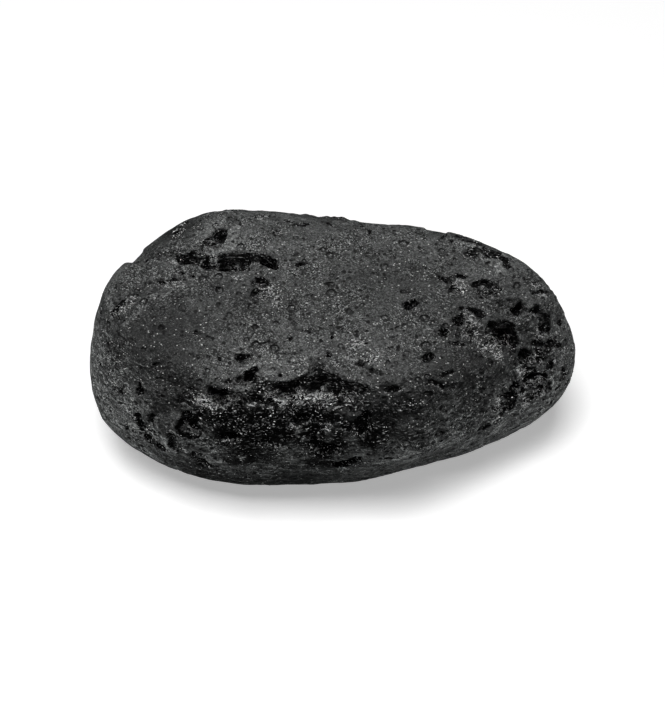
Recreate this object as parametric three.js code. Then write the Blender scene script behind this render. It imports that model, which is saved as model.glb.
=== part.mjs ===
// A tektite: one lump of black natural glass, thrown out molten by a meteorite impact.
// The skin is worked out in three steps.
// 1. Flats. The lump is a rounded polyhedron: each flat is a plane at its own distance from the
//    middle, and a power mean runs the planes into each other.
// 2. Relief. Swells, ledges, furrows and pits move the skin in or out along its own normal.
// 3. Faceting. A coarse ball of triangles is split only where the skin bends, so that the small
//    facets go to the ledges and pits.
// Millimetres, +Z up, the stone lying as it rests, with its origin under its middle on the
// surface that it rests on. Azimuth is measured from +X towards +Y, and rise above the horizon.
import * as THREE from "three";

// Driving dimensions
const LENGTH = 60; // along X
const WIDTH = 42.5; // along Y
const HEIGHT = 28; // along Z
const WORN_LEVEL = 0.35; // how much of the belly is worn away where the stone rests

// Faceting
const COARSE_SPLITS = 6; // each face of the first icosahedron has (splits + 1) squared triangles
const FACET_ERROR = 0.18; // the furthest that a facet's edge may lie off the skin
const SHORTEST_EDGE = 0.42; // an edge shorter than this is never split
const EDGES_ACROSS_PIT = 2; // the fewest edges that cross a pit
const SPLIT_ROUNDS = 14;

// The power of the mean that joins the flats: higher gives sharper edges between them.
const CRISPNESS = 13;

// The flats, with the distance of each from the middle of the stone.
const FLATS = [
  // name, azimuth, rise, distance
  ["crown", 270, 79, 13.7],
  ["crown back", 95, 62, 16.1],
  ["right tip", 0, 0, 35.5],
  ["right shoulder", 26, 22, 28.4],
  ["back right shoulder", 38, 34, 24.9],
  ["back crest", 72, 48, 17.2],
  ["back crest left", 111, 47, 20.5],
  ["back crest right", 63, 43, 21.2],
  ["back left shoulder", 138, 40, 23.0],
  ["left shoulder", 155, 22, 31.5],
  ["left tip", 180, 0, 28.0],
  ["left keel", 199, -22, 34.1],
  ["front left keel", 239, -40, 21.5],
  ["front keel", 275, -48, 18.4],
  ["front right keel", 305, -41, 18.5],
  ["right keel", 332, -24, 33.1],
  ["right chin", 350, -11, 35.8],
  ["front slope", 267, 33, 21.1],
  ["front", 268, -18, 20.8],
  ["front left", 225, 20, 26.2],
  ["front right", 315, 20, 24.5],
  ["belly", 0, -90, 13.5],
  ["back right of middle", 78, -2, 20.6],
  ["back left of middle", 110, 3, 21.2],
  ["back right corner", 38, -4, 26.0],
  ["back left corner", 142, -6, 26.2],
  ["back right under", 45, -38, 22.4],
  ["back left under", 137, -38, 23.0],
  ["left under", 180, -42, 25.1],
  ["right under", 8, -42, 25.7],
  ["back belly", 90, -45, 18.5],
];

// Relief, as millimetres along the skin's normal. Places are azimuth and rise.

// Broad swells and hollows, which fade over an angle.
const SWELLS = [
  // azimuth, rise, height, spread
  [338, -17, 2.1, 20],
  [140, 38, 1.8, 18],
  [74, 45, -2.0, 14],
  [192, -8, 0.8, 15],
  [340, 17, -0.7, 9],
  [236, 20, -0.5, 8],
];

// Waves that keep the flats from being true planes.
const WAVES = 12;
const WAVE_HEIGHT = 0.09;
const WAVE_LENGTH = [9, 20]; // the shortest and the longest

// Ledges: the skin steps down on the right of the path, and climbs back over the run.
const LEDGES = [
  {
    name: "crack under the knob",
    depth: 1.6,
    wall: 0.6,
    run: 2.8,
    path: [[176, 37], [175, 41], [178, 43], [177, 45], [176, 49], [176, 56], [177, 63], [185, 68], [200, 69]],
  },
  {
    name: "fold at the left end",
    depth: 0.8,
    wall: 1.2,
    run: 5,
    path: [[196, 38], [196, 34], [195, 30], [199, 27], [201, 25], [202, 21]],
  },
  {
    name: "ridge at the back right",
    depth: 1.0,
    wall: 1.2,
    run: 5,
    path: [[354, 31], [355, 32], [358, 36], [2, 40], [10, 43], [16, 44], [27, 44], [35, 48], [45, 57]],
  },
  {
    name: "lip above the front",
    depth: 0.9,
    wall: 0.6,
    run: 3.5,
    path: [[249, 24], [253, 26], [256, 27], [262, 29], [269, 31], [274, 30], [278, 28], [283, 26], [289, 25]],
  },
];
const LEDGE_TAPER = 2.5; // length over which a ledge or a furrow grows from each end

// Furrows, with their depth at the middle line.
const FURROWS = [
  {
    name: "valley to the crack",
    depth: 1.1,
    across: 4,
    path: [[161, 16], [168, 23], [173, 29], [177, 32], [177, 35], [177, 42]],
  },
];

// Pits left by burst bubbles. The last two numbers, where given, draw the pit out: how many times
// longer it is than across, and how far its length turns up from the horizontal.
const PITS = [
  // azimuth, rise, across, depth, stretch, turn
  // The right end and the crown beside it
  [344, 39, 2.0, 0.5],
  [347, 33, 2.6, 0.6],
  [326, 44, 1.8, 0.5, 1.3, 0],
  [335, 32, 2.0, 0.5],
  [329, 33, 1.6, 0.7],
  [326, 30, 2.6, 0.7],
  [321, 33, 1.6, 0.5],
  [336, 24, 3.2, 1.3],
  [344, 26, 1.5, 0.5],
  [347, 22, 1.6, 0.5],
  [347, 18, 2.7, 0.7],
  [346, 12, 1.9, 1.1, 1.9, 0],
  [338, 14, 1.9, 1.1, 1.3, 0],
  [346, 3, 1.6, 0.5],
  [337, 8, 1.5, 0.8, 2.0, 0],
  [331, 8, 1.2, 0.6, 1.6, 90],
  [328, 5, 2.0, 0.7],
  [336, 4, 1.5, 0.7, 2.4, 0],
  // The front
  [238, 32, 1.4, 0.5, 1.6, 0],
  [243, 28, 1.5, 0.6, 1.4, 0],
  [238, 20, 2.2, 1.1, 1.7, 0],
  [232, 9, 2.8, 0.9, 1.2, 0],
  [243, 10, 1.6, 0.6, 1.8, 0],
  [258, 12, 1.6, 0.6, 1.2, 0],
  [272, 7, 1.9, 0.9, 1.7, 0],
  [276, 0, 1.9, 0.9, 1.7, 0],
  // The left end, low down
  [215, 12, 1.0, 0.4, 1.8, 70],
  [218, 2, 1.5, 0.6, 1.6, 60],
  [221, 7, 1.0, 0.4, 2.4, 70],
  [220, -1, 1.5, 0.5, 1.3, 0],
  [223, -3, 1.7, 0.5],
  [228, 1, 2.0, 0.6],
  [234, -6, 2.3, 0.5],
  // The knob at the back left
  [161, 47, 1.6, 0.5, 1.3, 0],
  [170, 46, 2.8, 0.5],
  [159, 33, 1.5, 0.4],
  // Under the crack
  [207, 58, 1.8, 0.6, 1.3, 0],
  [220, 55, 1.5, 0.5, 1.4, 0],
  // Behind the ridge
  [18, 36, 1.6, 0.4],
  [12, 35, 1.8, 0.5],
  [6, 33, 2.0, 0.6],
  [2, 31, 1.5, 0.5],
  // The crown's far rim
  [50, 64, 2.6, 0.4],
  [136, 52, 2.0, 0.4],
  [115, 52, 1.6, 0.4],
  [150, 47, 1.6, 0.4],
];

// The far side and the belly have more pits of the same kind, strewn by a seeded draw.
const STREWN_PITS = 40;
const STREWN_ACROSS = [1.4, 3.2];
const STREWN_DEPTH = 0.28; // as a share of the pit's width
const STREWN_STRETCH = 0.6; // how much longer than across the most drawn-out pit is
const FAR_SIDE = [270, 36]; // the azimuth and rise that the strewn pits face away from
const FAR_SIDE_REACH = 0.12; // how far past square they may still face

// A pit is a cup: steep at its rim and rounded at its bottom. A higher power makes it more pointed.
const CUP_POWER = 0.75;

const SEED = 20;

const radians = THREE.MathUtils.degToRad;
const degrees = THREE.MathUtils.radToDeg;
const smooth = THREE.MathUtils.smoothstep;
const lerp = THREE.MathUtils.lerp;

// A stream of numbers between 0 and 1 that is the same every time.
function draws(seed) {
  let state = seed;
  return () => {
    state = (Math.imul(state, 1664525) + 1013904223) >>> 0;
    return ((state ^ (state >>> 15)) >>> 0) / 2 ** 32;
  };
}

// The unit vector that points to an azimuth and a rise.
function towards(azimuth, rise) {
  const level = Math.cos(radians(rise));
  return new THREE.Vector3(
    level * Math.cos(radians(azimuth)),
    level * Math.sin(radians(azimuth)),
    Math.sin(radians(rise)),
  );
}

const flats = FLATS.map(([, azimuth, rise, distance]) => ({
  normal: towards(azimuth, rise),
  distance,
}));

// The bare lump's skin in one direction: its point, and the normal there, to which each flat
// adds its own normal by how much it shapes that spot.
function bareSkin(direction) {
  const normal = new THREE.Vector3();
  let sum = 0;
  for (const flat of flats) {
    const lean = direction.dot(flat.normal) / flat.distance;
    if (lean <= 0) continue;
    sum += lean ** CRISPNESS;
    normal.addScaledVector(flat.normal, lean ** (CRISPNESS - 1) / flat.distance);
  }
  const radius = sum ** (-1 / CRISPNESS);
  return { point: direction.clone().multiplyScalar(radius), normal: normal.normalize() };
}

const swells = SWELLS.map(([azimuth, rise, height, spread]) => ({
  middle: towards(azimuth, rise),
  height,
  spread: radians(spread),
}));

const drawWave = draws(SEED);
const waves = Array.from({ length: WAVES }, () => ({
  across: towards(360 * drawWave(), degrees(Math.asin(2 * drawWave() - 1))),
  length: lerp(...WAVE_LENGTH, drawWave()),
  start: 2 * Math.PI * drawWave(),
}));

function onSkin(path) {
  return path.map(([azimuth, rise]) => bareSkin(towards(azimuth, rise)).point);
}

const ledges = LEDGES.map((ledge) => ({ ...ledge, points: onSkin(ledge.path) }));
const furrows = FURROWS.map((furrow) => ({ ...furrow, points: onSkin(furrow.path) }));

// A pit as its middle and its axes on the skin: along its length, across it, and out.
function pitAt(direction, across, depth, stretch = 1, turn = 0) {
  const { point, normal } = bareSkin(direction);
  const level = new THREE.Vector3(0, 0, 1).cross(normal).normalize();
  const along = level.applyAxisAngle(normal, radians(turn));
  const reach = (across * stretch) / 2;
  return {
    middle: point,
    out: normal,
    along: along.clone().divideScalar(reach),
    aside: normal.clone().cross(along).divideScalar(across / 2),
    reach,
    depth,
  };
}

function strewnPits() {
  const draw = draws(SEED + 1);
  const near = towards(...FAR_SIDE);
  const strewn = [];
  while (strewn.length < STREWN_PITS) {
    const direction = towards(360 * draw(), degrees(Math.asin(2 * draw() - 1)));
    const across = lerp(...STREWN_ACROSS, draw() ** 2);
    const stretch = 1 + STREWN_STRETCH * draw();
    const turn = 180 * draw();
    if (direction.dot(near) > FAR_SIDE_REACH) continue;
    strewn.push(pitAt(direction, across, STREWN_DEPTH * across, stretch, turn));
  }
  return strewn;
}

const pits = [
  ...PITS.map(([azimuth, rise, ...size]) => pitAt(towards(azimuth, rise), ...size)),
  ...strewnPits(),
];

// How a spot lies to a path: how far off, on which side, and how fully the path has grown there.
function besidePath(points, spot, normal) {
  let best = { off: Infinity };
  let before = 0;
  for (let i = 1; i < points.length; i += 1) {
    const from = points[i - 1];
    const step = points[i].clone().sub(from);
    const length = step.length();
    const share = THREE.MathUtils.clamp(spot.clone().sub(from).dot(step) / length ** 2, 0, 1);
    const offset = spot.clone().sub(from).addScaledVector(step, -share);
    const off = offset.length();
    if (off < best.off) {
      best = { off, onRight: offset.dot(step.cross(normal)) > 0, along: before + share * length };
    }
    before += length;
  }
  const fromEnd = Math.min(best.along, before - best.along);
  return { ...best, grown: smooth(fromEnd, 0, LEDGE_TAPER) };
}

function ledgeHeight(ledge, spot, normal) {
  const { off, onRight, grown } = besidePath(ledge.points, spot, normal);
  if (!onRight || off > ledge.run) return 0;
  return -ledge.depth * grown * smooth(off, 0, ledge.wall) * (1 - smooth(off, ledge.wall, ledge.run));
}

function furrowHeight(furrow, spot, normal) {
  const { off, grown } = besidePath(furrow.points, spot, normal);
  return -furrow.depth * grown * Math.max(0, 1 - (2 * off / furrow.across) ** 2) ** 2;
}

function pitHeight(pit, spot) {
  const offset = spot.clone().sub(pit.middle);
  if (Math.abs(offset.dot(pit.out)) > pit.reach) return 0;
  const fromMiddle = offset.dot(pit.along) ** 2 + offset.dot(pit.aside) ** 2;
  return fromMiddle < 1 ? -pit.depth * (1 - fromMiddle) ** CUP_POWER : 0;
}

// The finished skin in one direction. Pits that overlap cut no deeper than the deeper one.
function skin(direction) {
  const { point, normal } = bareSkin(direction);
  let height = 0;
  for (const swell of swells) {
    height += swell.height * Math.exp(-((direction.angleTo(swell.middle) / swell.spread) ** 2));
  }
  for (const wave of waves) {
    height += WAVE_HEIGHT * Math.sin((2 * Math.PI * point.dot(wave.across)) / wave.length + wave.start);
  }
  for (const ledge of ledges) height += ledgeHeight(ledge, point, normal);
  for (const furrow of furrows) height += furrowHeight(furrow, point, normal);
  height += Math.min(0, ...pits.map((pit) => pitHeight(pit, point)));
  return { bare: point, finished: point.clone().addScaledVector(normal, height) };
}

// A closed net of triangles whose vertices are directions, each with its point on the skin.
function coarseNet() {
  const ball = new THREE.IcosahedronGeometry(1, COARSE_SPLITS);
  const position = ball.getAttribute("position");
  const net = { directions: [], bare: [], points: [], triangles: [] };
  const seen = new Map();
  for (let i = 0; i < position.count; i += 3) {
    const triangle = [0, 1, 2].map((corner) => {
      const direction = new THREE.Vector3().fromBufferAttribute(position, i + corner).normalize();
      const key = direction.toArray().map((value) => value.toFixed(5)).join();
      if (!seen.has(key)) seen.set(key, addVertex(net, direction));
      return seen.get(key);
    });
    net.triangles.push(triangle);
  }
  return net;
}

function addVertex(net, direction) {
  const { bare, finished } = skin(direction);
  net.directions.push(direction);
  net.bare.push(bare);
  net.points.push(finished);
  return net.directions.length - 1;
}

const edgeKey = (a, b) => (a < b ? `${a},${b}` : `${b},${a}`);

// The three edges of a triangle, the longest first, each as its two ends and the far corner.
// Lengths are taken on the bare skin, so that a steep wall isn't cut into slivers.
function edgesOf(net, [a, b, c]) {
  const sides = [
    [a, b, c],
    [b, c, a],
    [c, a, b],
  ];
  const length = ([from, to]) => net.bare[from].distanceTo(net.bare[to]);
  const longest = sides.map(length).reduce((best, l, i, all) => (l > all[best] ? i : best), 0);
  return [sides[longest], sides[(longest + 1) % 3], sides[(longest + 2) % 3]];
}

// An edge is too long if its middle lies off the skin, or if it could step over a pit.
function isTooLong(net, a, b) {
  const length = net.bare[a].distanceTo(net.bare[b]);
  if (length < SHORTEST_EDGE) return false;
  const { bare, finished } = skin(between(net, a, b));
  const chord = net.points[a].clone().add(net.points[b]).multiplyScalar(0.5);
  if (finished.distanceTo(chord) > FACET_ERROR) return true;
  return pits.some(
    (pit) =>
      length > (2 * pit.reach) / EDGES_ACROSS_PIT &&
      bare.distanceTo(pit.middle) < pit.reach + length / 2,
  );
}

function between(net, a, b) {
  return net.directions[a].clone().add(net.directions[b]).normalize();
}

// Splits every edge that is too long. A triangle that loses any edge also splits its longest
// one, which keeps the triangles from growing thin.
function refine(net) {
  const checked = new Set();
  const middles = new Map();
  const split = (a, b) => middles.set(edgeKey(a, b), addVertex(net, between(net, a, b)));
  const check = (a, b) => {
    if (checked.has(edgeKey(a, b))) return;
    checked.add(edgeKey(a, b));
    if (isTooLong(net, a, b)) split(a, b);
  };
  const sides = net.triangles.map((triangle) => edgesOf(net, triangle));
  for (const three of sides) {
    for (const [a, b] of three) check(a, b);
  }
  if (!middles.size) return false;
  for (let grew = true; grew; ) {
    grew = false;
    for (const three of sides) {
      const [longest] = three;
      if (middles.has(edgeKey(longest[0], longest[1]))) continue;
      if (!three.some(([a, b]) => middles.has(edgeKey(a, b)))) continue;
      split(longest[0], longest[1]);
      grew = true;
    }
  }
  net.triangles = sides.flatMap(([[a, b, c]]) => {
    const ab = middles.get(edgeKey(a, b));
    if (ab === undefined) return [[a, b, c]];
    const bc = middles.get(edgeKey(b, c));
    const ca = middles.get(edgeKey(c, a));
    const near = ca === undefined ? [[a, ab, c]] : [[a, ab, ca], [ca, ab, c]];
    const far = bc === undefined ? [[ab, b, c]] : [[ab, b, bc], [ab, bc, c]];
    return [...near, ...far];
  });
  return true;
}

function stoneGeometry() {
  const net = coarseNet();
  for (let round = 0; round < SPLIT_ROUNDS && refine(net); round += 1);
  const lowest = Math.min(...net.points.map((point) => point.z));
  for (const point of net.points) point.z = Math.max(point.z, lowest + WORN_LEVEL);
  const geometry = new THREE.BufferGeometry().setFromPoints(net.points);
  geometry.setIndex(net.triangles.flat());
  geometry.computeBoundingBox();
  const { min, max } = geometry.boundingBox;
  geometry.translate(-(min.x + max.x) / 2, -(min.y + max.y) / 2, -min.z);
  geometry.scale(LENGTH / (max.x - min.x), WIDTH / (max.y - min.y), HEIGHT / (max.z - min.z));
  geometry.computeVertexNormals();
  return geometry;
}

const glass = new THREE.MeshStandardMaterial({ color: 0x17181a, roughness: 0.35, metalness: 0 });
const stone = new THREE.Mesh(stoneGeometry(), glass);
stone.name = "tektite";

const tektite = new THREE.Group();
tektite.add(stone);

export default tektite;
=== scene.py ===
# %% [markdown]
# # A tektite
# A tektite is a lump of natural glass: ground that a meteorite's impact melted and threw through
# the air. It is black, it has no cut or moulded face, and everything to be seen on it is relief:
# swells and hollows, ledges where one fold of melt lies over another, round pits left by burst
# bubbles, pits drawn out while the melt still flowed, and a fine grain over all of it.
# The solid model holds the lump, its ledges and its wider pits. This lesson works out the same
# skin far more finely, adds the relief that is too small for the solid, and then makes the glass.

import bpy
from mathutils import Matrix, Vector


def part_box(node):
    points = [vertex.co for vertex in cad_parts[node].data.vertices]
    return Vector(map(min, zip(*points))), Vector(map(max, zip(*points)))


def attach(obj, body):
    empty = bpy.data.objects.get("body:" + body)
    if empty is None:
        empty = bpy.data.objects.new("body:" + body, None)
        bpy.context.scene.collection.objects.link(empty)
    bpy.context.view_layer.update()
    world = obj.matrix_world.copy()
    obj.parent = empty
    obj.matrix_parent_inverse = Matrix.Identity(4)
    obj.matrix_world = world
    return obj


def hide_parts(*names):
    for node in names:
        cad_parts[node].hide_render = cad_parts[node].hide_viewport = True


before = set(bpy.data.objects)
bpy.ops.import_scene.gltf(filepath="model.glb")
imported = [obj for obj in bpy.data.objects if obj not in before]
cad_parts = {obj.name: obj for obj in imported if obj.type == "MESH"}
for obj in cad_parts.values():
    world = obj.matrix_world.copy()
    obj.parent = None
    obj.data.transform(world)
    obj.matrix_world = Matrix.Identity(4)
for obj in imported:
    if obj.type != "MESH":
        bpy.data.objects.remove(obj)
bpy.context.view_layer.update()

import bpy
import numpy as np
from mathutils import Matrix, Vector

MM = 0.001  # one millimetre in metres

solid_low, solid_high = (np.array(corner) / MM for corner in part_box("tektite"))
print("the solid in mm:", np.round(solid_high - solid_low, 2))

# %% [markdown]
# ## The camera
# The stone is seen from its long side and from well above, so that its crown, its front and its
# right end all show. A long lens a quarter of a metre away keeps its outline free of distortion.

# %% The camera
CAMERA_RISE = 42  # degrees above the floor
CAMERA_AWAY = 243.3 * MM
CAMERA_AIM = Vector((0, 0, 12.8 * MM))

camera_data = bpy.data.cameras.new("camera")
camera_data.lens = 100
camera_data.sensor_width = 36
camera_data.clip_start = 5 * MM
camera = bpy.data.objects.new("camera", camera_data)
bpy.context.scene.collection.objects.link(camera)
to_camera = Vector((0, -np.cos(np.radians(CAMERA_RISE)), np.sin(np.radians(CAMERA_RISE))))
camera.location = CAMERA_AIM + to_camera * CAMERA_AWAY
camera.rotation_euler = to_camera.to_track_quat("Z", "Y").to_euler()
bpy.context.scene.camera = camera
print("the camera stands at", np.round(camera.location, 4))

# %% [markdown]
# ## The lump
# The bare lump is a rounded polyhedron. Each flat is a plane, given by the azimuth and the rise
# that it faces and its distance from the stone's heart. The skin's radius in any direction is a
# mean of the planes' distances to a high power, so it follows the nearest plane and rounds the
# edges between them. Sculpting could give such a lump too, but a rule can be worked out at any
# fineness, so this skin and the solid agree.

# %% The flats
FLATS = [
    # name, azimuth, rise, distance
    ("crown", 270, 79, 13.7),
    ("crown back", 95, 62, 16.1),
    ("right tip", 0, 0, 35.5),
    ("right shoulder", 26, 22, 28.4),
    ("back right shoulder", 38, 34, 24.9),
    ("back crest", 72, 48, 17.2),
    ("back crest left", 111, 47, 20.5),
    ("back crest right", 63, 43, 21.2),
    ("back left shoulder", 138, 40, 23.0),
    ("left shoulder", 155, 22, 31.5),
    ("left tip", 180, 0, 28.0),
    ("left keel", 199, -22, 34.1),
    ("front left keel", 239, -40, 21.5),
    ("front keel", 275, -48, 18.4),
    ("front right keel", 305, -41, 18.5),
    ("right keel", 332, -24, 33.1),
    ("right chin", 350, -11, 35.8),
    ("front slope", 267, 33, 21.1),
    ("front", 268, -18, 20.8),
    ("front left", 225, 20, 26.2),
    ("front right", 315, 20, 24.5),
    ("belly", 0, -90, 13.5),
    ("back right of middle", 78, -2, 20.6),
    ("back left of middle", 110, 3, 21.2),
    ("back right corner", 38, -4, 26.0),
    ("back left corner", 142, -6, 26.2),
    ("back right under", 45, -38, 22.4),
    ("back left under", 137, -38, 23.0),
    ("left under", 180, -42, 25.1),
    ("right under", 8, -42, 25.7),
    ("back belly", 90, -45, 18.5),
]
CRISPNESS = 13  # the power of the mean: higher gives sharper edges between the flats


def towards(azimuth, rise):
    """The unit vector that points to an azimuth and a rise, in degrees."""
    azimuth, rise = np.radians(azimuth), np.radians(rise)
    level = np.cos(rise)
    return np.stack([level * np.cos(azimuth), level * np.sin(azimuth), np.sin(rise)], axis=-1)


flat_faces = np.array([towards(azimuth, rise) for _, azimuth, rise, _ in FLATS])
flat_away = np.array([distance for *_, distance in FLATS])
print(len(FLATS), "flats, from", flat_away.min(), "to", flat_away.max(), "mm away")


# %% The bare skin
def unit(vectors):
    return vectors / np.linalg.norm(vectors, axis=-1, keepdims=True)


def bare_skin(directions):
    """The bare lump's points in these directions, and its normals there."""
    lean = np.maximum(directions @ flat_faces.T / flat_away, 0)
    radius = (lean**CRISPNESS).sum(axis=-1) ** (-1 / CRISPNESS)
    normals = unit(lean ** (CRISPNESS - 1) / flat_away @ flat_faces)
    return directions * radius[..., None], normals


print("the bare lump is", np.round(bare_skin(np.eye(3))[0].max(axis=0), 1), "mm from heart to skin")

# %% [markdown]
# ## The net
# A sphere made of longitudes and latitudes has two poles where its faces pinch. A cube whose faces
# are cut into squares and blown up to a ball has none, so the relief can be equally fine all over.
# The ball is first stretched roughly to the stone's proportions, which evens the squares out.

# %% The net of directions
SQUARES = 260  # along one edge of the cube
ROUGH_SHAPE = np.array([30.0, 21.0, 14.0])  # half the stone's length, width and height


def cube_net(squares):
    """A cube's surface cut into squares: its corners from -1 to 1, and the squares' corners."""
    steps = np.arange(squares + 1)
    row, column = np.meshgrid(steps, steps, indexing="ij")
    places, faces = [], []
    for axis in range(3):
        for end in (0, squares):
            place = np.empty((*row.shape, 3), int)
            place[..., axis] = end
            place[..., (axis + 1) % 3] = row
            place[..., (axis + 2) % 3] = column
            count = np.arange(row.size).reshape(row.shape) + row.size * len(places)
            ring = [count[:-1, :-1], count[1:, :-1], count[1:, 1:], count[:-1, 1:]]
            faces.append(np.stack(ring if end else ring[::-1], axis=-1).reshape(-1, 4))
            places.append(place.reshape(-1, 3))
    places, faces = np.concatenate(places), np.concatenate(faces)
    keys = places @ np.array([1, squares + 1, (squares + 1) ** 2])
    _, first, shared = np.unique(keys, return_index=True, return_inverse=True)
    return places[first] * 2 / squares - 1, shared[faces]


corners, squares = cube_net(SQUARES)
directions = unit(unit(np.tan(corners * np.pi / 4)) * ROUGH_SHAPE)
bare, normals = bare_skin(directions)
edge = np.linalg.norm(bare[squares[:, 0]] - bare[squares[:, 1]], axis=-1)
print(len(bare), "points,", np.round(np.percentile(edge, (2, 50, 98)), 2), "mm apart")

# %% [markdown]
# ## Broad relief
# Swells and hollows fade over an angle, and a few long waves keep the flats from being true
# planes. They are the ones that shape the solid, so they are worked out by the same rule.

# %% Swells and waves
SWELLS = [
    # azimuth, rise, height, spread in degrees
    (338, -17, 2.1, 20),
    (140, 38, 1.8, 18),
    (74, 45, -2.0, 14),
    (192, -8, 0.8, 15),
    (340, 17, -0.7, 9),
    (236, 20, -0.5, 8),
]
WAVES = 12
WAVE_HEIGHT = 0.09
WAVE_LENGTH = (9, 20)
SEED = 20


def draws(seed):
    """A stream of numbers between 0 and 1 that is the same every time."""
    state = seed
    while True:
        state = (state * 1664525 + 1013904223) & 0xFFFFFFFF
        yield (state ^ (state >> 15)) / 2**32


def broad_relief(directions, spots):
    height = np.zeros(len(spots))
    for azimuth, rise, swell, spread in SWELLS:
        angle = np.arccos(np.clip(directions @ towards(azimuth, rise), -1, 1))
        height += swell * np.exp(-((angle / np.radians(spread)) ** 2))
    draw = draws(SEED)
    for _ in range(WAVES):
        across = towards(360 * next(draw), np.degrees(np.arcsin(2 * next(draw) - 1)))
        length = WAVE_LENGTH[0] + (WAVE_LENGTH[1] - WAVE_LENGTH[0]) * next(draw)
        start = 2 * np.pi * next(draw)
        height += WAVE_HEIGHT * np.sin(2 * np.pi * (spots @ across) / length + start)
    return height


height = broad_relief(directions, bare)
print("broad relief from", np.round(height.min(), 2), "to", np.round(height.max(), 2), "mm")

# %% [markdown]
# ## Ledges and furrows
# Where the melt folded over itself, one fold ends in a lip and the skin beneath steps down. A ledge
# follows a path: the skin drops on the right of the path, in a steep wall, and climbs back over
# the run. Here the path is also made to wander, because the lip of a real fold is torn and lobed.

# %% Noise that the melt's irregularities are drawn from
LATTICE = 64  # the noise repeats after this many lumps


def lumps(spots, size, seed):
    """Smooth noise, mostly from -1 to 1, with lumps of a size in mm; each use has its own seed."""
    slopes = np.random.default_rng(seed).normal(size=(LATTICE**3, 3)).astype(np.float32)
    place = spots / size
    cell = np.floor(place).astype(int)
    inside = place - cell
    fade = inside**3 * (inside * (inside * 6 - 15) + 10)
    total = np.zeros(len(spots))
    for corner in np.ndindex(2, 2, 2):
        wrapped = (cell + corner) % LATTICE
        slope = slopes[(wrapped[:, 0] * LATTICE + wrapped[:, 1]) * LATTICE + wrapped[:, 2]]
        share = np.where(corner, fade, 1 - fade).prod(axis=-1)
        total += share * ((inside - corner) * slope).sum(axis=-1)
    return total


def smooth(value, low, high):
    """0 up to low, 1 from high on, and a smooth step between them."""
    share = np.clip((value - low) / (high - low), 0, 1)
    return share * share * (3 - 2 * share)


print("noise spreads by", np.round(lumps(bare, 3, 1).std(), 2))

# %% Ledges and furrows
LEDGES = [
    # name, depth, width of its wall, run, and the path: azimuth, rise
    ("crack under the knob", 1.6, 0.6, 2.8, [
        (176, 37), (175, 41), (178, 43), (177, 45), (176, 49), (176, 56), (177, 63), (185, 68),
        (200, 69),
    ]),
    ("fold at the left end", 0.8, 1.2, 5, [
        (196, 38), (196, 34), (195, 30), (199, 27), (201, 25), (202, 21),
    ]),
    ("ridge at the back right", 1.0, 1.2, 5, [
        (354, 31), (355, 32), (358, 36), (2, 40), (10, 43), (16, 44), (27, 44), (35, 48), (45, 57),
    ]),
    ("lip above the front", 0.9, 0.6, 3.5, [
        (249, 24), (253, 26), (256, 27), (262, 29), (269, 31), (274, 30), (278, 28), (283, 26),
        (289, 25),
    ]),
]
FURROWS = [
    # name, depth, width, and the path
    ("valley to the crack", 1.1, 4, [
        (161, 16), (168, 23), (173, 29), (177, 32), (177, 35), (177, 42),
    ]),
]
PATH_TAPER = 2.5  # length over which a ledge or a furrow grows from each end


def beside_path(path, spots, normals, taper=PATH_TAPER):
    """How far off the path each spot is, whether on its right, and how full-grown it is there."""
    points, _ = bare_skin(np.array([towards(*place) for place in path]))
    off = np.full(len(spots), np.inf)
    on_right = np.zeros(len(spots), bool)
    along = np.zeros(len(spots))
    before = 0.0
    for start, end in zip(points[:-1], points[1:]):
        step = end - start
        length = np.linalg.norm(step)
        share = np.clip((spots - start) @ step / length**2, 0, 1)
        offset = spots - start - share[:, None] * step
        distance = np.linalg.norm(offset, axis=-1)
        nearer = distance < off
        right = (offset * np.cross(step, normals)).sum(axis=-1) > 0
        off = np.where(nearer, distance, off)
        on_right = np.where(nearer, right, on_right)
        along = np.where(nearer, before + share * length, along)
        before += length
    return off, on_right, smooth(np.minimum(along, before - along), 0, taper)


LEDGE_PATCHES = 3.2  # the size of the places where a ledge is deeper or shallower
LEDGE_PATCH_EDGES = (-0.35, 0.35)  # the noise from its shallowest to its deepest
LEDGE_UNEVEN = (0.35, 1.15)  # its least and greatest depth, as a share of its own


def ledge_relief(path, depth, wall, run, spots, normals):
    off, on_right, grown = beside_path(path, spots, normals)
    patch = smooth(lumps(spots, LEDGE_PATCHES, 35), *LEDGE_PATCH_EDGES)
    share = LEDGE_UNEVEN[0] + (LEDGE_UNEVEN[1] - LEDGE_UNEVEN[0]) * patch
    drop = smooth(off, 0, wall) * (1 - smooth(off / share, wall, run))
    return np.where(on_right, -depth * grown * share * drop, 0)


def furrow_relief(path, depth, across, spots, normals):
    off, _, grown = beside_path(path, spots, normals)
    return -depth * grown * np.maximum(0, 1 - (2 * off / across) ** 2) ** 2


LIP_LOBES = 0.35  # how far the lips wander from their paths
LIP_LOBE_SIZE = 2.2

lobes = np.stack([lumps(bare, LIP_LOBE_SIZE, seed) for seed in (31, 32, 33)], axis=-1)
lobed = bare + LIP_LOBES * lobes
for _, depth, wall, run, path in LEDGES:
    height += ledge_relief(path, depth, wall, run, lobed, normals)
for _, depth, across, path in FURROWS:
    height += furrow_relief(path, depth, across, lobed, normals)
print("with ledges, the lowest is", np.round(height.min(), 2), "mm")

# %% [markdown]
# ## The wide pits
# A bubble that bursts as the glass stiffens leaves a cup with a sharp rim. Where the melt was
# still moving the cup is drawn out along the flow. The wide ones have places of their own, the
# same as in the solid; their walls are steeper here, and each has a slightly raised rim, because
# the net is fine enough to hold both.

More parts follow.
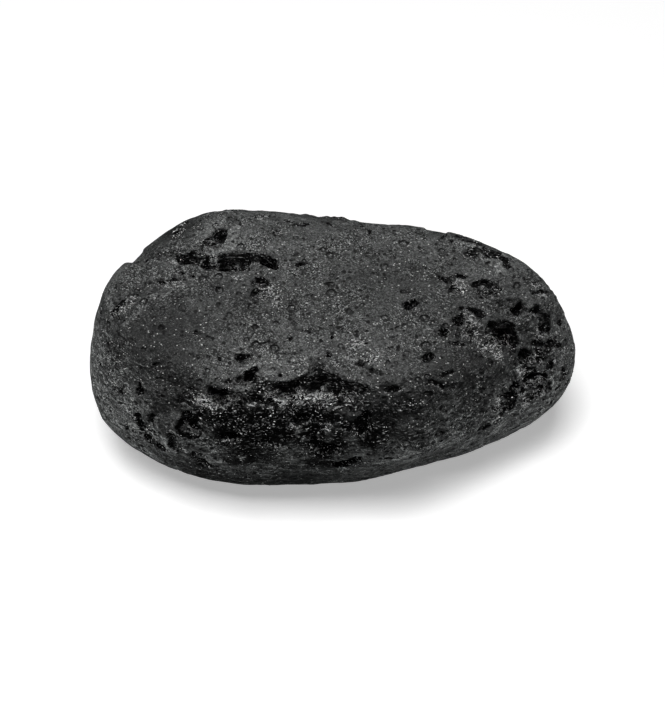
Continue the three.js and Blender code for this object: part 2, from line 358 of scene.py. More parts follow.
# %% The wide pits
PITS = [
    # azimuth, rise, across, depth, and for a drawn-out pit: stretch, turn
    # the right end and the crown beside it
    (344, 39, 2.0, 0.5),
    (347, 33, 2.6, 0.6),
    (326, 44, 1.8, 0.5, 1.3, 0),
    (335, 32, 2.0, 0.5),
    (329, 33, 1.6, 0.7),
    (326, 30, 2.6, 0.7),
    (321, 33, 1.6, 0.5),
    (336, 24, 3.2, 1.3),
    (344, 26, 1.5, 0.5),
    (347, 22, 1.6, 0.5),
    (347, 18, 2.7, 0.7),
    (346, 12, 1.9, 1.1, 1.9, 0),
    (338, 14, 1.9, 1.1, 1.3, 0),
    (346, 3, 1.6, 0.5),
    (337, 8, 1.5, 0.8, 2.0, 0),
    (331, 8, 1.2, 0.6, 1.6, 90),
    (328, 5, 2.0, 0.7),
    (336, 4, 1.5, 0.7, 2.4, 0),
    # the front
    (238, 32, 1.4, 0.5, 1.6, 0),
    (243, 28, 1.5, 0.6, 1.4, 0),
    (238, 20, 2.2, 1.1, 1.7, 0),
    (232, 9, 2.8, 0.9, 1.2, 0),
    (243, 10, 1.6, 0.6, 1.8, 0),
    (258, 12, 1.6, 0.6, 1.2, 0),
    (272, 7, 1.9, 0.9, 1.7, 0),
    (276, 0, 1.9, 0.9, 1.7, 0),
    # the left end, low down
    (215, 12, 1.0, 0.4, 1.8, 70),
    (218, 2, 1.5, 0.6, 1.6, 60),
    (221, 7, 1.0, 0.4, 2.4, 70),
    (220, -1, 1.5, 0.5, 1.3, 0),
    (223, -3, 1.7, 0.5),
    (228, 1, 2.0, 0.6),
    (234, -6, 2.3, 0.5),
    # the knob at the back left
    (161, 47, 1.6, 0.5, 1.3, 0),
    (170, 46, 2.8, 0.5),
    (159, 33, 1.5, 0.4),
    # under the crack
    (207, 58, 1.8, 0.6, 1.3, 0),
    (220, 55, 1.5, 0.5, 1.4, 0),
    # behind the ridge
    (18, 36, 1.6, 0.4),
    (12, 35, 1.8, 0.5),
    (6, 33, 2.0, 0.6),
    (2, 31, 1.5, 0.5),
    # the crown's far rim
    (50, 64, 2.6, 0.4),
    (136, 52, 2.0, 0.4),
    (115, 52, 1.6, 0.4),
    (150, 47, 1.6, 0.4),
]
print(len(PITS), "pits listed, the widest", max(across for _, _, across, *_ in PITS), "mm across")

# %% Strewn pits, and the shape of a pit
STREWN_PITS = 40
STREWN_ACROSS = (1.4, 3.2)
STREWN_DEPTH = 0.28  # as a share of the pit's width
STREWN_STRETCH = 0.6  # the most that one is drawn out, beyond round
NEAR_SIDE = (270, 36)  # the middle of the side whose pits are listed above
NEAR_SIDE_REACH = 0.12  # strewn pits keep this far from it, as a cosine
FLOOR_POWER = 3.0  # higher makes the pit's floor flatter
WALL_POWER = 0.7  # lower makes its wall steeper
RIM_RISE = 0.045  # as a share of the pit's width
RIM_SPREAD = 0.2  # as a share of the pit's reach


def strewn_pits():
    """The pits on the far side and the belly, from the solid's own stream of numbers."""
    draw = draws(SEED + 1)
    near = towards(*NEAR_SIDE)
    strewn = []
    while len(strewn) < STREWN_PITS:
        azimuth, rise = 360 * next(draw), np.degrees(np.arcsin(2 * next(draw) - 1))
        share = next(draw) ** 2
        across = STREWN_ACROSS[0] + (STREWN_ACROSS[1] - STREWN_ACROSS[0]) * share
        stretch, turn = 1 + STREWN_STRETCH * next(draw), 180 * next(draw)
        if towards(azimuth, rise) @ near <= NEAR_SIDE_REACH:
            strewn.append((azimuth, rise, across, STREWN_DEPTH * across, stretch, turn))
    return strewn


def pit_relief(spots, azimuth, rise, across, depth, stretch=1, turn=0):
    """A cup below the skin, and the rim around it."""
    middle, out = (value[0] for value in bare_skin(towards(azimuth, rise)[None]))
    level = unit(np.cross([0, 0, 1], out))
    turned = np.radians(turn)
    along = level * np.cos(turned) + np.cross(out, level) * np.sin(turned)
    offset = spots - middle
    reach = across * stretch / 2
    from_middle = np.hypot(offset @ along / reach, offset @ np.cross(out, along) / (across / 2))
    near = np.abs(offset @ out) < reach
    cup = np.maximum(0, 1 - from_middle**FLOOR_POWER) ** WALL_POWER
    rim = np.exp(-(((from_middle - 1) / RIM_SPREAD) ** 2))
    return np.where(near, -depth * cup, 0), np.where(near, RIM_RISE * across * rim, 0)


widest = max(across for _, _, across, *_ in strewn_pits())
print(STREWN_PITS, "pits strewn, the widest", np.round(widest, 1), "mm across")

# %% Where the wide pits are sunk
UNEVEN = [
    # size of the waves in the pits' outlines, and their height
    (3.0, 0.30),
    (1.2, 0.16),
]


def wandering(spots, size, reach, seed):
    """Shifts that bend whatever is laid out over the spots."""
    return reach * np.stack([lumps(spots, size, seed + axis) for axis in range(3)], axis=-1)


uneven = sum(wandering(bare, size, reach, 41 + 3 * i) for i, (size, reach) in enumerate(UNEVEN))
deepest, highest = np.zeros(len(bare)), np.zeros(len(bare))
for pit in [*PITS, *strewn_pits()]:
    cup, rim = pit_relief(bare + uneven, *pit)
    deepest, highest = np.minimum(deepest, cup), np.maximum(highest, rim)
height += deepest + np.where(deepest < 0, np.maximum(0, highest + deepest), highest)
print(len(PITS) + STREWN_PITS, "pits, down to", np.round(deepest.min(), 2), "mm")

# %% [markdown]
# ## Hollows and ribs
# Inside the crack, along the front and at the right end the melt tore open. These hollows are too
# narrow for the solid: black slits, round holes and drawn-out tears, with thin ribs of glass left
# between them. Each hollow is a row of balls strung along a path and cut out of the skin with a
# steep wall. Under its lip its colour is painted black, as painted shade; a share says how far down
# that reaches. The rest of its floor is broken, and glints are painted on it.

# %% The hollows
HOLLOWS = [
    # depth, how far down it is painted black as shade under its lip, and the path: azimuth, rise,
    # half width
    # crack
    (1.8, 1.0, [
        (175.5, 38.6, 0.54), (176.0, 41.1, 1.00), (178.1, 42.5, 0.55), (178.3, 41.8, 0.76),
        (178.1, 43.1, 0.80), (178.2, 44.7, 0.41),
    ]),
    (2.2, 1.0, [
        (177.9, 48.3, 0.55), (177.3, 51.1, 0.91), (177.1, 55.5, 0.90), (177.1, 60.1, 0.53),
        (178.7, 64.1, 0.49), (183.6, 66.4, 0.44), (192.7, 67.6, 0.26),
    ]),
    (0.5, 1.0, [(187.4, 38.9, 0.32)]),
    (0.5, 1.0, [(189.2, 40.6, 0.32)]),
    (0.5, 0.45, [(206.0, 58.3, 0.90)]),
    (0.5, 0.5, [(215.9, 53.2, 0.95), (219.8, 55.9, 1.02)]),
    (0.6, 1.0, [(200.3, 76.6, 0.34), (199.0, 79.7, 0.40), (200.0, 82.2, 0.24)]),
    (0.3, 0.2, [(189.7, 34.6, 0.59), (192.3, 37.3, 0.77)]),
    # knob
    (0.9, 1.0, [(162.4, 46.4, 0.63), (159.1, 47.8, 0.53)]),
    (0.5, 0.3, [(165.7, 48.3, 0.84), (169.6, 45.0, 0.85)]),
    (0.4, 0.3, [(135.2, 48.8, 0.75), (125.5, 45.7, 0.75)]),
    (0.25, 0.0, [(139.1, 63.6, 0.56), (127.4, 65.1, 0.56)]),
    (0.6, 0.6, [(155.1, 32.1, 1.00), (163.8, 34.7, 1.00)]),
    # crown
    (0.5, 1.0, [(217.1, 32.2, 0.53)]),
    (0.35, 0.6, [(269.3, 53.0, 0.47)]),
    (0.4, 0.6, [(258.6, 45.9, 0.62), (261.6, 45.3, 0.46)]),
    (0.3, 0.6, [(252.2, 42.5, 0.37)]),
    (0.3, 0.8, [(275.1, 44.2, 0.30)]),
    (0.4, 0.8, [(272.7, 37.7, 0.52)]),
    (0.3, 0.9, [(290.7, 40.0, 0.30)]),
    (0.25, 0.4, [(294.0, 43.4, 0.38)]),
    (0.5, 1.0, [(285.6, 33.2, 0.46)]),
    (0.5, 1.0, [(288.7, 30.7, 0.46), (290.3, 30.1, 0.32)]),
    (0.6, 1.0, [(236.3, 31.4, 0.32), (239.5, 33.4, 0.38)]),
    (0.4, 0.9, [(230.6, 29.3, 0.34)]),
    (0.3, 0.9, [(235.4, 34.3, 0.25)]),
    (0.4, 1.0, [(258.3, 34.2, 0.25), (260.9, 34.1, 0.25)]),
    (0.4, 0.9, [(254.2, 29.6, 0.34)]),
    (0.7, 1.0, [(324.2, 46.1, 0.52), (328.9, 45.4, 0.47)]),
    # front
    (0.9, 1.0, [(241.0, 26.4, 0.50), (242.3, 28.2, 0.51), (244.2, 30.3, 0.41)]),
    (0.4, 1.0, [(236.6, 25.1, 0.19), (238.5, 25.4, 0.20)]),
    (1.0, 1.0, [(235.2, 20.9, 0.88), (238.4, 20.4, 1.25), (242.2, 21.7, 0.64)]),
    (1.3, 1.0, [
        (250.4, 25.0, 0.31), (254.8, 25.7, 0.94), (260.9, 27.3, 1.00), (266.3, 28.8, 1.25),
        (272.1, 30.4, 0.81), (275.0, 29.1, 0.63),
    ]),
    (0.9, 1.0, [
        (273.5, 27.0, 0.63), (278.1, 27.4, 0.89), (281.7, 26.0, 0.93), (285.1, 24.9, 0.47),
    ]),
    (0.6, 1.0, [(247.2, 21.4, 0.51), (252.1, 21.4, 0.64)]),
    (0.6, 1.0, [(268.4, 22.5, 0.53), (274.2, 22.4, 0.68)]),
    (0.9, 1.0, [(261.1, 16.1, 0.76), (263.8, 17.4, 0.76)]),
    (0.7, 1.0, [(240.9, 9.5, 0.74), (244.3, 10.1, 0.81)]),
    (0.6, 1.0, [(251.2, 9.1, 0.49), (256.0, 9.8, 0.58)]),
    (1.0, 1.0, [(267.4, 9.5, 0.75), (271.6, 6.3, 0.75), (274.7, 6.6, 0.69)]),
    (0.9, 1.0, [(274.8, -1.2, 0.65), (279.1, 0.2, 1.31)]),
    (0.5, 1.0, [(291.3, 25.1, 0.32), (295.4, 24.7, 0.32)]),
    (0.6, 1.0, [(308.7, 24.4, 0.32), (312.3, 23.5, 0.42)]),
    (0.4, 1.0, [(305.0, 23.9, 0.39), (307.8, 21.5, 0.39)]),
    (0.7, 1.0, [(307.5, 29.8, 0.48), (310.3, 30.1, 0.55)]),
    (0.8, 1.0, [(283.3, 18.3, 0.74), (280.9, 14.6, 0.96), (281.9, 12.5, 0.68)]),
    # right
    (0.6, 0.75, [(349.3, 43.5, 0.56), (348.0, 41.4, 0.66)]),
    (0.5, 0.3, [(343.8, 39.2, 1.10)]),
    (0.5, 0.75, [(343.6, 37.2, 0.44)]),
    (0.6, 0.75, [(351.6, 39.8, 0.48), (351.9, 38.4, 0.40)]),
    (0.9, 0.85, [(349.3, 35.8, 0.64), (350.8, 34.6, 0.70), (350.2, 33.1, 0.38)]),
    (0.6, 0.4, [(346.2, 32.6, 1.25)]),
    (0.6, 0.75, [(347.9, 31.4, 0.38)]),
    (0.6, 0.75, [(335.2, 34.6, 0.41), (336.1, 32.4, 0.52), (336.3, 30.8, 0.42)]),
    (0.9, 0.85, [(329.8, 33.2, 0.51), (331.1, 33.1, 0.51)]),
    (0.5, 0.35, [(328.6, 30.5, 1.03)]),
    (0.6, 0.75, [(322.1, 34.5, 0.37), (321.2, 33.1, 0.46)]),
    (0.4, 0.35, [(322.6, 33.0, 0.61)]),
    (1.5, 0.75, [(334.9, 27.9, 0.43), (333.2, 26.5, 0.90), (331.7, 24.7, 1.52)]),
    (1.4, 0.75, [(333.2, 26.5, 0.90), (336.8, 21.1, 1.16), (336.6, 18.8, 0.84)]),
    (0.7, 0.75, [(343.9, 26.8, 0.55), (345.1, 26.1, 0.54)]),
    (0.6, 0.75, [(346.2, 22.3, 0.75), (347.6, 20.7, 0.44)]),
    (0.7, 0.75, [(346.7, 16.1, 0.59), (348.0, 15.3, 0.55)]),
    (0.4, 0.6, [(350.3, 24.5, 0.46), (352.5, 22.6, 0.68)]),
    (0.3, 0.4, [(353.5, 25.8, 0.48), (359.6, 20.7, 0.75)]),
    (1.3, 0.85, [(338.6, 13.4, 0.82), (339.9, 12.6, 0.80)]),
    (1.1, 0.85, [(343.0, 14.2, 0.77), (347.1, 10.7, 0.64)]),
    (0.7, 0.75, [(346.8, 10.0, 0.41), (348.8, 8.4, 0.57)]),
    (0.7, 0.75, [(341.6, 10.7, 0.46), (343.2, 9.5, 0.49)]),
    (0.6, 0.75, [(336.1, 11.5, 0.46), (337.9, 10.2, 0.54)]),
    (1.0, 0.85, [(335.3, 7.6, 0.65), (338.0, 6.8, 0.57), (339.9, 6.3, 0.66)]),
    (0.8, 0.85, [(331.5, 8.1, 0.75), (329.8, 7.4, 1.00)]),
    (0.8, 0.85, [(332.9, 6.0, 0.64), (337.2, 3.8, 0.51), (339.0, 3.5, 0.55)]),
    (1.1, 0.85, [(328.7, 6.3, 1.25), (325.2, 7.2, 0.85), (323.3, 6.6, 0.53)]),
    (0.5, 0.75, [(325.6, 3.1, 0.57), (323.6, 2.5, 0.55)]),
    (0.4, 0.75, [(319.1, 30.1, 0.28), (321.5, 27.9, 0.36)]),
    (0.5, 0.5, [(346.8, 2.9, 0.39)]),
    (0.9, 0.85, [
        (13.9, 36.5, 0.58), (9.9, 35.5, 0.59), (6.0, 34.0, 0.44), (2.5, 31.5, 0.54),
        (359.2, 30.9, 0.50),
    ]),
    # left
    (0.5, 1.0, [(214.3, 13.8, 0.26), (215.2, 11.4, 0.36)]),
    (0.4, 1.0, [(214.3, 8.5, 0.32), (215.6, 7.4, 0.27)]),
    (0.8, 1.0, [(215.7, 4.9, 0.37), (217.4, 2.6, 0.80), (220.7, 2.7, 0.48)]),
    (0.5, 1.0, [(220.6, 8.0, 0.30), (222.7, 5.9, 0.36)]),
    (0.4, 1.0, [(212.7, -1.8, 0.50)]),
    (0.6, 1.0, [(218.6, -1.3, 0.42), (220.5, -1.7, 0.49)]),
    (0.5, 1.0, [(215.1, -6.9, 0.55)]),
    (0.8, 1.0, [(222.0, -2.8, 0.59), (223.4, -3.6, 0.73)]),
    (0.8, 0.9, [(227.6, 4.5, 0.71), (227.7, 1.2, 0.90), (230.0, 0.5, 0.60)]),
    (0.7, 0.8, [(234.3, -1.0, 1.25), (233.2, -7.7, 0.82)]),
    (0.7, 1.0, [(230.5, 12.1, 0.69), (232.6, 10.0, 0.80)]),
    (0.35, 0.0, [(194.6, 23.3, 0.71), (194.2, 26.0, 0.93), (193.5, 28.4, 1.00)]),
]
print(len(HOLLOWS), "hollows, the deepest", max(depth for depth, *_ in HOLLOWS), "mm")

# %% The ribs
RIBS = [
    # height, half width, and the path: azimuth, rise
    # right
    (0.22, 0.25, [(333.2, 9.3), (332.1, 7.4), (330.8, 5.6), (329.4, 4.0)]),
    (0.2, 0.25, [(332.5, 7.5), (334.3, 7.3), (336.2, 6.3), (338.9, 5.1)]),
    (0.25, 0.3, [(340.3, 7.0), (341.6, 4.8), (341.9, 2.1), (341.0, -0.1), (339.4, -1.7)]),
    (0.15, 0.25, [(334.2, 13.7), (336.9, 12.2), (338.6, 11.0)]),
    (0.3, 0.6, [(327.2, 11.5), (323.3, 10.0), (321.1, 7.2)]),
    (0.25, 0.5, [(15.6, 43.2), (11.2, 38.3), (6.1, 35.6), (1.1, 32.9), (354.5, 31.9)]),
    (0.12, 0.25, [(342.1, 34.4), (341.1, 32.4), (344.1, 31.3)]),
    # left
    (0.2, 0.25, [(226.2, -0.4), (227.7, -0.6), (228.8, -2.7)]),
    (0.2, 0.2, [(235.0, 4.4), (236.9, 6.6)]),
    (0.2, 0.3, [(219.4, 5.2), (222.3, 3.6), (224.7, 1.8), (226.7, -0.9)]),
    (0.25, 0.5, [
        (201.8, 22.5), (200.9, 25.6), (199.2, 27.7), (197.6, 29.4), (195.7, 31.0), (195.0, 32.5),
        (197.0, 35.4),
    ]),
    # front
    (0.15, 0.25, [(291.3, 23.1), (293.2, 23.1), (295.5, 23.5)]),
    (0.2, 0.3, [(260.4, 14.0), (264.0, 14.3)]),
]
RIB_TAPER = 0.8  # length over which a rib grows from each end


def rib_relief(spots, height, half_width, path):
    off, _, grown = beside_path(path, spots, normals, RIB_TAPER)
    return height * grown * np.maximum(0, 1 - (off / (2 * half_width)) ** 2) ** 2


print(len(RIBS), "ribs, the tallest", max(rib_height for rib_height, *_ in RIBS), "mm")

# %% The shape of a hollow
HOLLOW_SCALE = 0.85  # all hollows' widths are multiplied by this
HOLLOW_WALL = 0.35  # how wide a hollow's wall is
HOLLOW_LEAN = 0.65  # how much of its depth a hollow loses towards the side away from its lip
LEAN_REACH = 0.8  # how far from its middle that begins and ends, in half widths
LIP_SIDE = towards(90, 45)  # the lips hang over the hollows from behind and above, and shade is painted on that side
DARK_REACH = 1.7  # how far down from its lip a hollow's painted shade reaches at a share of 1, in half widths
HOLLOW_BLUR = 0.5  # over how much of a half width the painted shade fades out


def hollow_relief(spots, depth, dark_share, path):
    """A row of balls cut out of the skin: each spot's relief, how far it is in, and its painted
    shade.
    """
    points, _ = bare_skin(np.array([towards(*place[:2]) for place in path]))
    widths = [HOLLOW_SCALE * width for *_, width in path]
    inside = np.full(len(spots), -np.inf)
    to_lip = np.zeros(len(spots))
    ends = list(zip(points, widths))
    for (start, width), (end, next_width) in zip(ends, ends[1:] or ends):
        step = end - start
        share = np.clip((spots - start) @ step / max(step @ step, 1e-9), 0, 1)
        offset = spots - start - share[:, None] * step
        reach = width + (next_width - width) * share
        deeper_in = reach - np.linalg.norm(offset, axis=-1)
        nearer = deeper_in > inside
        inside = np.where(nearer, deeper_in, inside)
        to_lip = np.where(nearer, offset @ LIP_SIDE / reach, to_lip)
    sunk = smooth(inside, -HOLLOW_WALL / 2, HOLLOW_WALL / 2)
    floor_share = 1 - HOLLOW_LEAN * smooth(-to_lip, -LEAN_REACH, LEAN_REACH)
    dark_from = 1 - DARK_REACH * dark_share
    painted_shade = smooth(to_lip, dark_from, dark_from + HOLLOW_BLUR)
    return -depth * sunk * floor_share, sunk, sunk * painted_shade


alone, *_ = hollow_relief(bare, *HOLLOWS[0])
print("the first hollow alone reaches down to", np.round(alone.min(), 2), "mm")

# %% Cut the hollows and raise the ribs
HOLLOW_GRAIN = (0.6, 0.10)  # the size and height of the waves in a hollow's outline
RIB_UNEVEN = 0.5  # how much of the pits' unevenness bends the ribs

jagged = bare + uneven + wandering(bare, *HOLLOW_GRAIN, 91)
# hollow_painted_shade gathers the black that is painted as shade under the hollows' lips.
hollow, hollow_inside, hollow_painted_shade, rib = (np.zeros(len(bare)) for _ in range(4))
for depth, dark_share, path in HOLLOWS:
    sunk_by, inside, painted_shade = hollow_relief(jagged, depth, dark_share, path)
    hollow = np.minimum(hollow, sunk_by)
    hollow_inside = np.maximum(hollow_inside, inside)
    hollow_painted_shade = np.maximum(hollow_painted_shade, painted_shade)
for rib_height, half_width, path in RIBS:
    rib = np.maximum(rib, rib_relief(bare + RIB_UNEVEN * uneven, rib_height, half_width, path))
deepest = np.minimum(deepest, hollow)
height += hollow + rib
print("hollows reach down to", np.round(hollow.min(), 2), "mm, ribs up to", np.round(rib.max(), 2))

# %% [markdown]
# ## Lumpy skin
# Between its pits the skin isn't smooth: it rolls in lumps of many sizes, and on the steep sides
# these are drawn out around the stone, the way the melt crept. Several layers of noise make them,
# each finer and lower than the last. Where the melt tore, the fine ones are as high as the broad
# ones, which makes the skin crumpled.

# %% Torn places
TORN = [
    # azimuth, rise, half its width and half its height in degrees, how much of it is fresh glass
    (262, 14, 38, 15, 1.0),
    (336, 20, 24, 24, 0.3),
    (190, 44, 18, 14, 0.4),
    (222, 2, 16, 12, 0.5),
    (100, 10, 30, 20, 0.7),
]
TORN_FADE = (0.6, 1.3)  # where a torn place begins to fade and where it has, in half sizes
TORN_UNEVEN = (4, 0.2)  # the size of the waves in its outline, and their height in radians


def torn_share(directions):
    """How torn the skin is, from 0, where it only rolls, to 1; and how much of it is fresh."""
    azimuth = np.degrees(np.arctan2(directions[:, 1], directions[:, 0]))
    rise = np.degrees(np.arcsin(directions[:, 2]))
    torn, fresh = np.zeros(len(directions)), np.zeros(len(directions))
    for middle, middle_rise, wide, high, fresh_share in TORN:
        off = (azimuth - middle + 180) % 360 - 180
        out_of = np.hypot(off / wide, (rise - middle_rise) / high)
        inside = 1 - smooth(out_of, *TORN_FADE)
        torn, fresh = np.maximum(torn, inside), np.maximum(fresh, fresh_share * inside)
    return torn, fresh


torn_here, torn_fresh = torn_share(unit(directions + wandering(bare, *TORN_UNEVEN, 81)))
print("torn:", np.round(torn_here.mean(), 2), "of the skin")

# %% Lumps and wrinkles
LUMPS = [
    # size, height where the skin only rolls, and height where it is torn
    (6.0, 0.16, 0.22),
    (3.0, 0.09, 0.32),
    (1.6, 0.05, 0.32),
    (0.8, 0.02, 0.17),
]
WRINKLE_SIZE = 0.9
WRINKLE_STRETCH = 3.0  # how many times longer a wrinkle is than it is wide
WRINKLE_HEIGHT = 0.05
WRINKLE_PATCH_SIZE = 7
WRINKLE_PATCHES = (-0.5, 0.5)  # the noise where wrinkles begin, and where they are full-grown
PIT_WALL = (0.05, 0.3)  # how deep a pit is where its crumpled skin begins, and where it is full
SIDES = (0.45, 0.9)  # how level the normals are where the sides begin, and where they are full

inside_pit = smooth(-deepest, *PIT_WALL)
rough = np.maximum(torn_here, inside_pit)
for seed, (size, rolling, broken) in enumerate(LUMPS, start=51):
    height += (rolling + (broken - rolling) * rough) * lumps(bare, size, seed)
steepness = smooth(np.hypot(normals[:, 0], normals[:, 1]), *SIDES)
squeezed = bare * [1 / WRINKLE_STRETCH, 1 / WRINKLE_STRETCH, 1]
patchy = smooth(lumps(bare, WRINKLE_PATCH_SIZE, 61), *WRINKLE_PATCHES)
height += WRINKLE_HEIGHT * steepness * patchy * lumps(squeezed, WRINKLE_SIZE, 62)
print("the relief reaches from", np.round(height.min(), 2), "to", np.round(height.max(), 2), "mm")

# %% [markdown]
# ## The resting face
# The stone stands on a small worn spot. Whatever would lie lower is cut off level, and the skin is
# then set to the solid's box: its length, width and height, with the floor at zero.

# %% Set the skin to the solid's box
WORN_LEVEL = 0.35  # how much of the lowest spot is worn off

skin = bare + normals * height[:, None]
skin[:, 2] = np.maximum(skin[:, 2], skin[:, 2].min() + WORN_LEVEL)
low, high = skin.min(axis=0), skin.max(axis=0)
skin = (skin - low) / (high - low) * (solid_high - solid_low) + solid_low
print("the skin was", np.round(high - low, 2), "mm before it was set to the solid's box")

# %% [markdown]
# ## Fresh glass, painted glints, and painted light and shade
# The glass doesn't look the same all over. Torn places are fresh and black. In the hollows, shade
# under the lips is painted black, broken floors among them have painted glints, and the rest is
# etched grey, painted paler in some parts and darker in others as painted light and shade. Such
# parts could be painted on by hand. Here each point of the skin carries a number for each instead,
# worked out from the same places as the relief, and the material reads them.

# %% Broken floors with painted glints
PAINTED_GLINT_PLACES = [
    # azimuth, rise, half width, share
    # left, and about the crack
    (168.3, 46.5, 1.2, 0.6), (177.1, 46.7, 0.8, 1.0), (177.2, 52.0, 0.8, 0.7),
    (178.2, 37.6, 1.0, 1.0), (178.5, 60.0, 0.8, 0.8), (180.1, 59.0, 1.0, 1.0),
    (192.8, 51.8, 0.9, 0.8),
    # front
    (232.6, 17.3, 1.3, 1.0), (235.5, 17.7, 1.3, 1.0), (238.5, 19.0, 1.0, 0.8),
    (252.0, 23.9, 1.0, 0.8), (256.7, 23.3, 1.1, 1.0), (262.0, 24.1, 1.2, 1.0),
    (267.3, 24.8, 1.2, 1.0), (271.0, 14.5, 0.8, 0.7), (272.6, 24.6, 1.0, 0.9),
    (278.0, 23.7, 0.9, 0.6), (291.7, 35.0, 1.5, 0.5),
    # right
    (320.3, 17.5, 0.9, 0.6), (325.7, 6.5, 0.7, 1.0), (327.0, 29.6, 1.0, 0.8),
    (328.0, 29.0, 1.0, 0.7), (328.2, 25.3, 1.1, 1.0), (329.8, 21.5, 1.3, 1.0),
    (331.6, 31.5, 1.4, 0.8), (333.6, 2.8, 0.8, 0.8), (334.8, 11.7, 0.9, 1.0),
    (341.7, 11.9, 0.6, 1.0), (344.8, 17.0, 1.2, 0.6), (345.2, 17.0, 0.9, 1.0),
    (346.9, 38.5, 1.2, 0.8), (347.0, 32.5, 1.3, 0.7), (348.5, 11.9, 0.6, 1.0),
    # crown
    (216.3, 57.5, 1.5, 0.8), (228.4, 56.7, 1.0, 0.6), (287.1, 40.7, 1.2, 0.5),
]
LIT_FADE = (0.5, 1.1)  # where such a floor begins to fade and where it has, in half widths
HOLLOW_PAINTED_GLINTS = 0.6  # how strongly glints are painted on a hollow's floor below its painted shade

# lit says where glints and chips are painted on: painted highlights on broken floors.
lit = HOLLOW_PAINTED_GLINTS * np.maximum(hollow_inside - hollow_painted_shade, 0)
for azimuth, rise, half_width, share in PAINTED_GLINT_PLACES:
    middle = bare_skin(towards(azimuth, rise)[None])[0]
    off = np.linalg.norm(jagged - middle, axis=-1) / half_width
    lit = np.maximum(lit, share * (1 - smooth(off, *LIT_FADE)))
print("lit:", np.round((lit > 0).mean(), 3), "of the skin")

# %% Painted light and shade: parts painted paler, or darker
PAINTED_TONE_PLACES = [
    # azimuth, rise, spread in degrees, and how much paler the skin is painted, as a power of e:
    # painted light where more, painted shade where less
    # left, and about the crack
    (158, 32, 6, -1.6), (166, 32, 9, -0.5), (177, 48, 13, 0.7), (178, 49, 9, 0.4),
    (194, 5, 9, 0.7), (198, 31, 26, -0.2), (199, 21, 9, -0.4), (212, 25, 9, -0.9),
    (212, 28, 9, -0.4), (218, -1, 13, 1.0), (222, 22, 6, -0.4), (224, 17, 6, -0.6),
    (226, 13, 6, -0.4), (227, -15, 9, -0.8),
    # front
    (236, -18, 13, -0.5), (236, -18, 9, -0.5), (238, 3, 9, 0.3), (242, 26, 6, 0.5),
    (243, 23, 6, 0.3), (246, 0, 13, 0.3), (251, 30, 18, 0.5), (251, 17, 6, -0.9),
    (258, 6, 13, 0.3), (259, -16, 13, -0.3), (260, 25, 20, -0.12), (261, 0, 9, 0.4),
    (262, -17, 13, -1.1), (264, 5, 9, 0.4), (273, 18, 6, -0.5), (276, 18, 6, -1.4),
    (276, 21, 9, -0.4), (286, 20, 6, -1.0), (288, 12, 6, 0.6), (292, 22, 6, -0.4),
    (293, 4, 9, 0.8), (295, 22, 6, -0.4), (298, 21, 6, -0.7),
    # right
    (306, 24, 18, -0.2), (311, 22, 9, -0.5), (312, 2, 9, 0.7), (322, 12, 9, -0.3),
    (323, 21, 9, -0.4), (330, 23, 18, -0.25), (333, -4, 13, 0.4), (336, 16, 26, -0.3),
    (345, 9, 26, 0.35), (16, 34, 6, -1.1),
    # crown
    (324, 72, 26, -0.3), (348, 54, 13, -0.5), (200, 50, 14, -0.2), (207, 48, 26, -0.12),
    (242, 44, 26, -0.2), (270, 60, 60, -0.12),
]
RIB_CREST_HIGHLIGHT = 0.6  # how much paler the ribs' crests are painted, as a painted highlight, as a power of e
RIB_CREST = (0.03, 0.15)  # the heights at which a rib begins to turn pale, and is

painted_tone = np.zeros(len(bare))
for azimuth, rise, spread, amount in PAINTED_TONE_PLACES:
    angle = np.degrees(np.arccos(np.clip(unit(jagged) @ towards(azimuth, rise), -1, 1)))
    painted_tone += amount * np.exp(-((angle / spread) ** 2))
painted_tone += RIB_CREST_HIGHLIGHT * smooth(rib, *RIB_CREST)
print("etched from", np.round(np.exp(painted_tone.min()), 2), "to", np.round(np.exp(painted_tone.max()), 2))

# %% Fresh glass, and the painted shade in the hollows
FRESH_PATCH_SIZES = (1.6, 5)
FRESH_PATCHES = (-1.4, -0.6)  # the noise where a torn place is etched over, and where it is fresh
RIB_BARE = (0.03, 0.12)  # the heights at which a rib begins to lose its black, and has lost it
PAINTED_PALE_OVER = (0.4, 1.0)  # how much paler a part is painted where it begins to lose its fresh glass, and where it has lost it
PAINTED_PALE_OVER_SHARE = 0.5  # how much of it is lost then
LIT_AND_FRESH = 0.8  # how fresh a lit floor is in a torn place

patches = sum(lumps(bare, size, 72 + i) for i, size in enumerate(FRESH_PATCH_SIZES))
# The painted shade under the hollows' lips joins the fresh glass here; both are black.
fresh_and_shade_here = np.maximum(torn_fresh * smooth(patches, *FRESH_PATCHES), hollow_painted_shade)
fresh_and_shade_here *= 1 - smooth(rib, *RIB_BARE)
fresh_and_shade_here *= 1 - PAINTED_PALE_OVER_SHARE * smooth(painted_tone, *PAINTED_PALE_OVER)
fresh_and_shade_here = np.maximum(fresh_and_shade_here, LIT_AND_FRESH * lit * torn_fresh)
print("fresh:", np.round(fresh_and_shade_here.mean(), 3), "of the skin")

# %% Where small pits lie
CROWN_LEVEL = (0.55, 0.9)  # how upright the normals are where the crown begins, and on its top
CROWN_SPARED = 0.5  # how many of its small pits the crown lacks
PITTED_PATCH_SIZE = 8
PITTED_PATCHES = (-0.6, 0.5)  # the noise where there are none, and where they lie thickest

crown = smooth(normals[:, 2], *CROWN_LEVEL)
pitted = smooth(lumps(bare, PITTED_PATCH_SIZE, 71), *PITTED_PATCHES) * (1 - CROWN_SPARED * crown)
print("pits lie at", np.round(pitted.mean(), 2), "of full density on average")

# %% The skin as a mesh
PIT_PLACES = "pitted"  # the attribute that says how thickly small pits lie


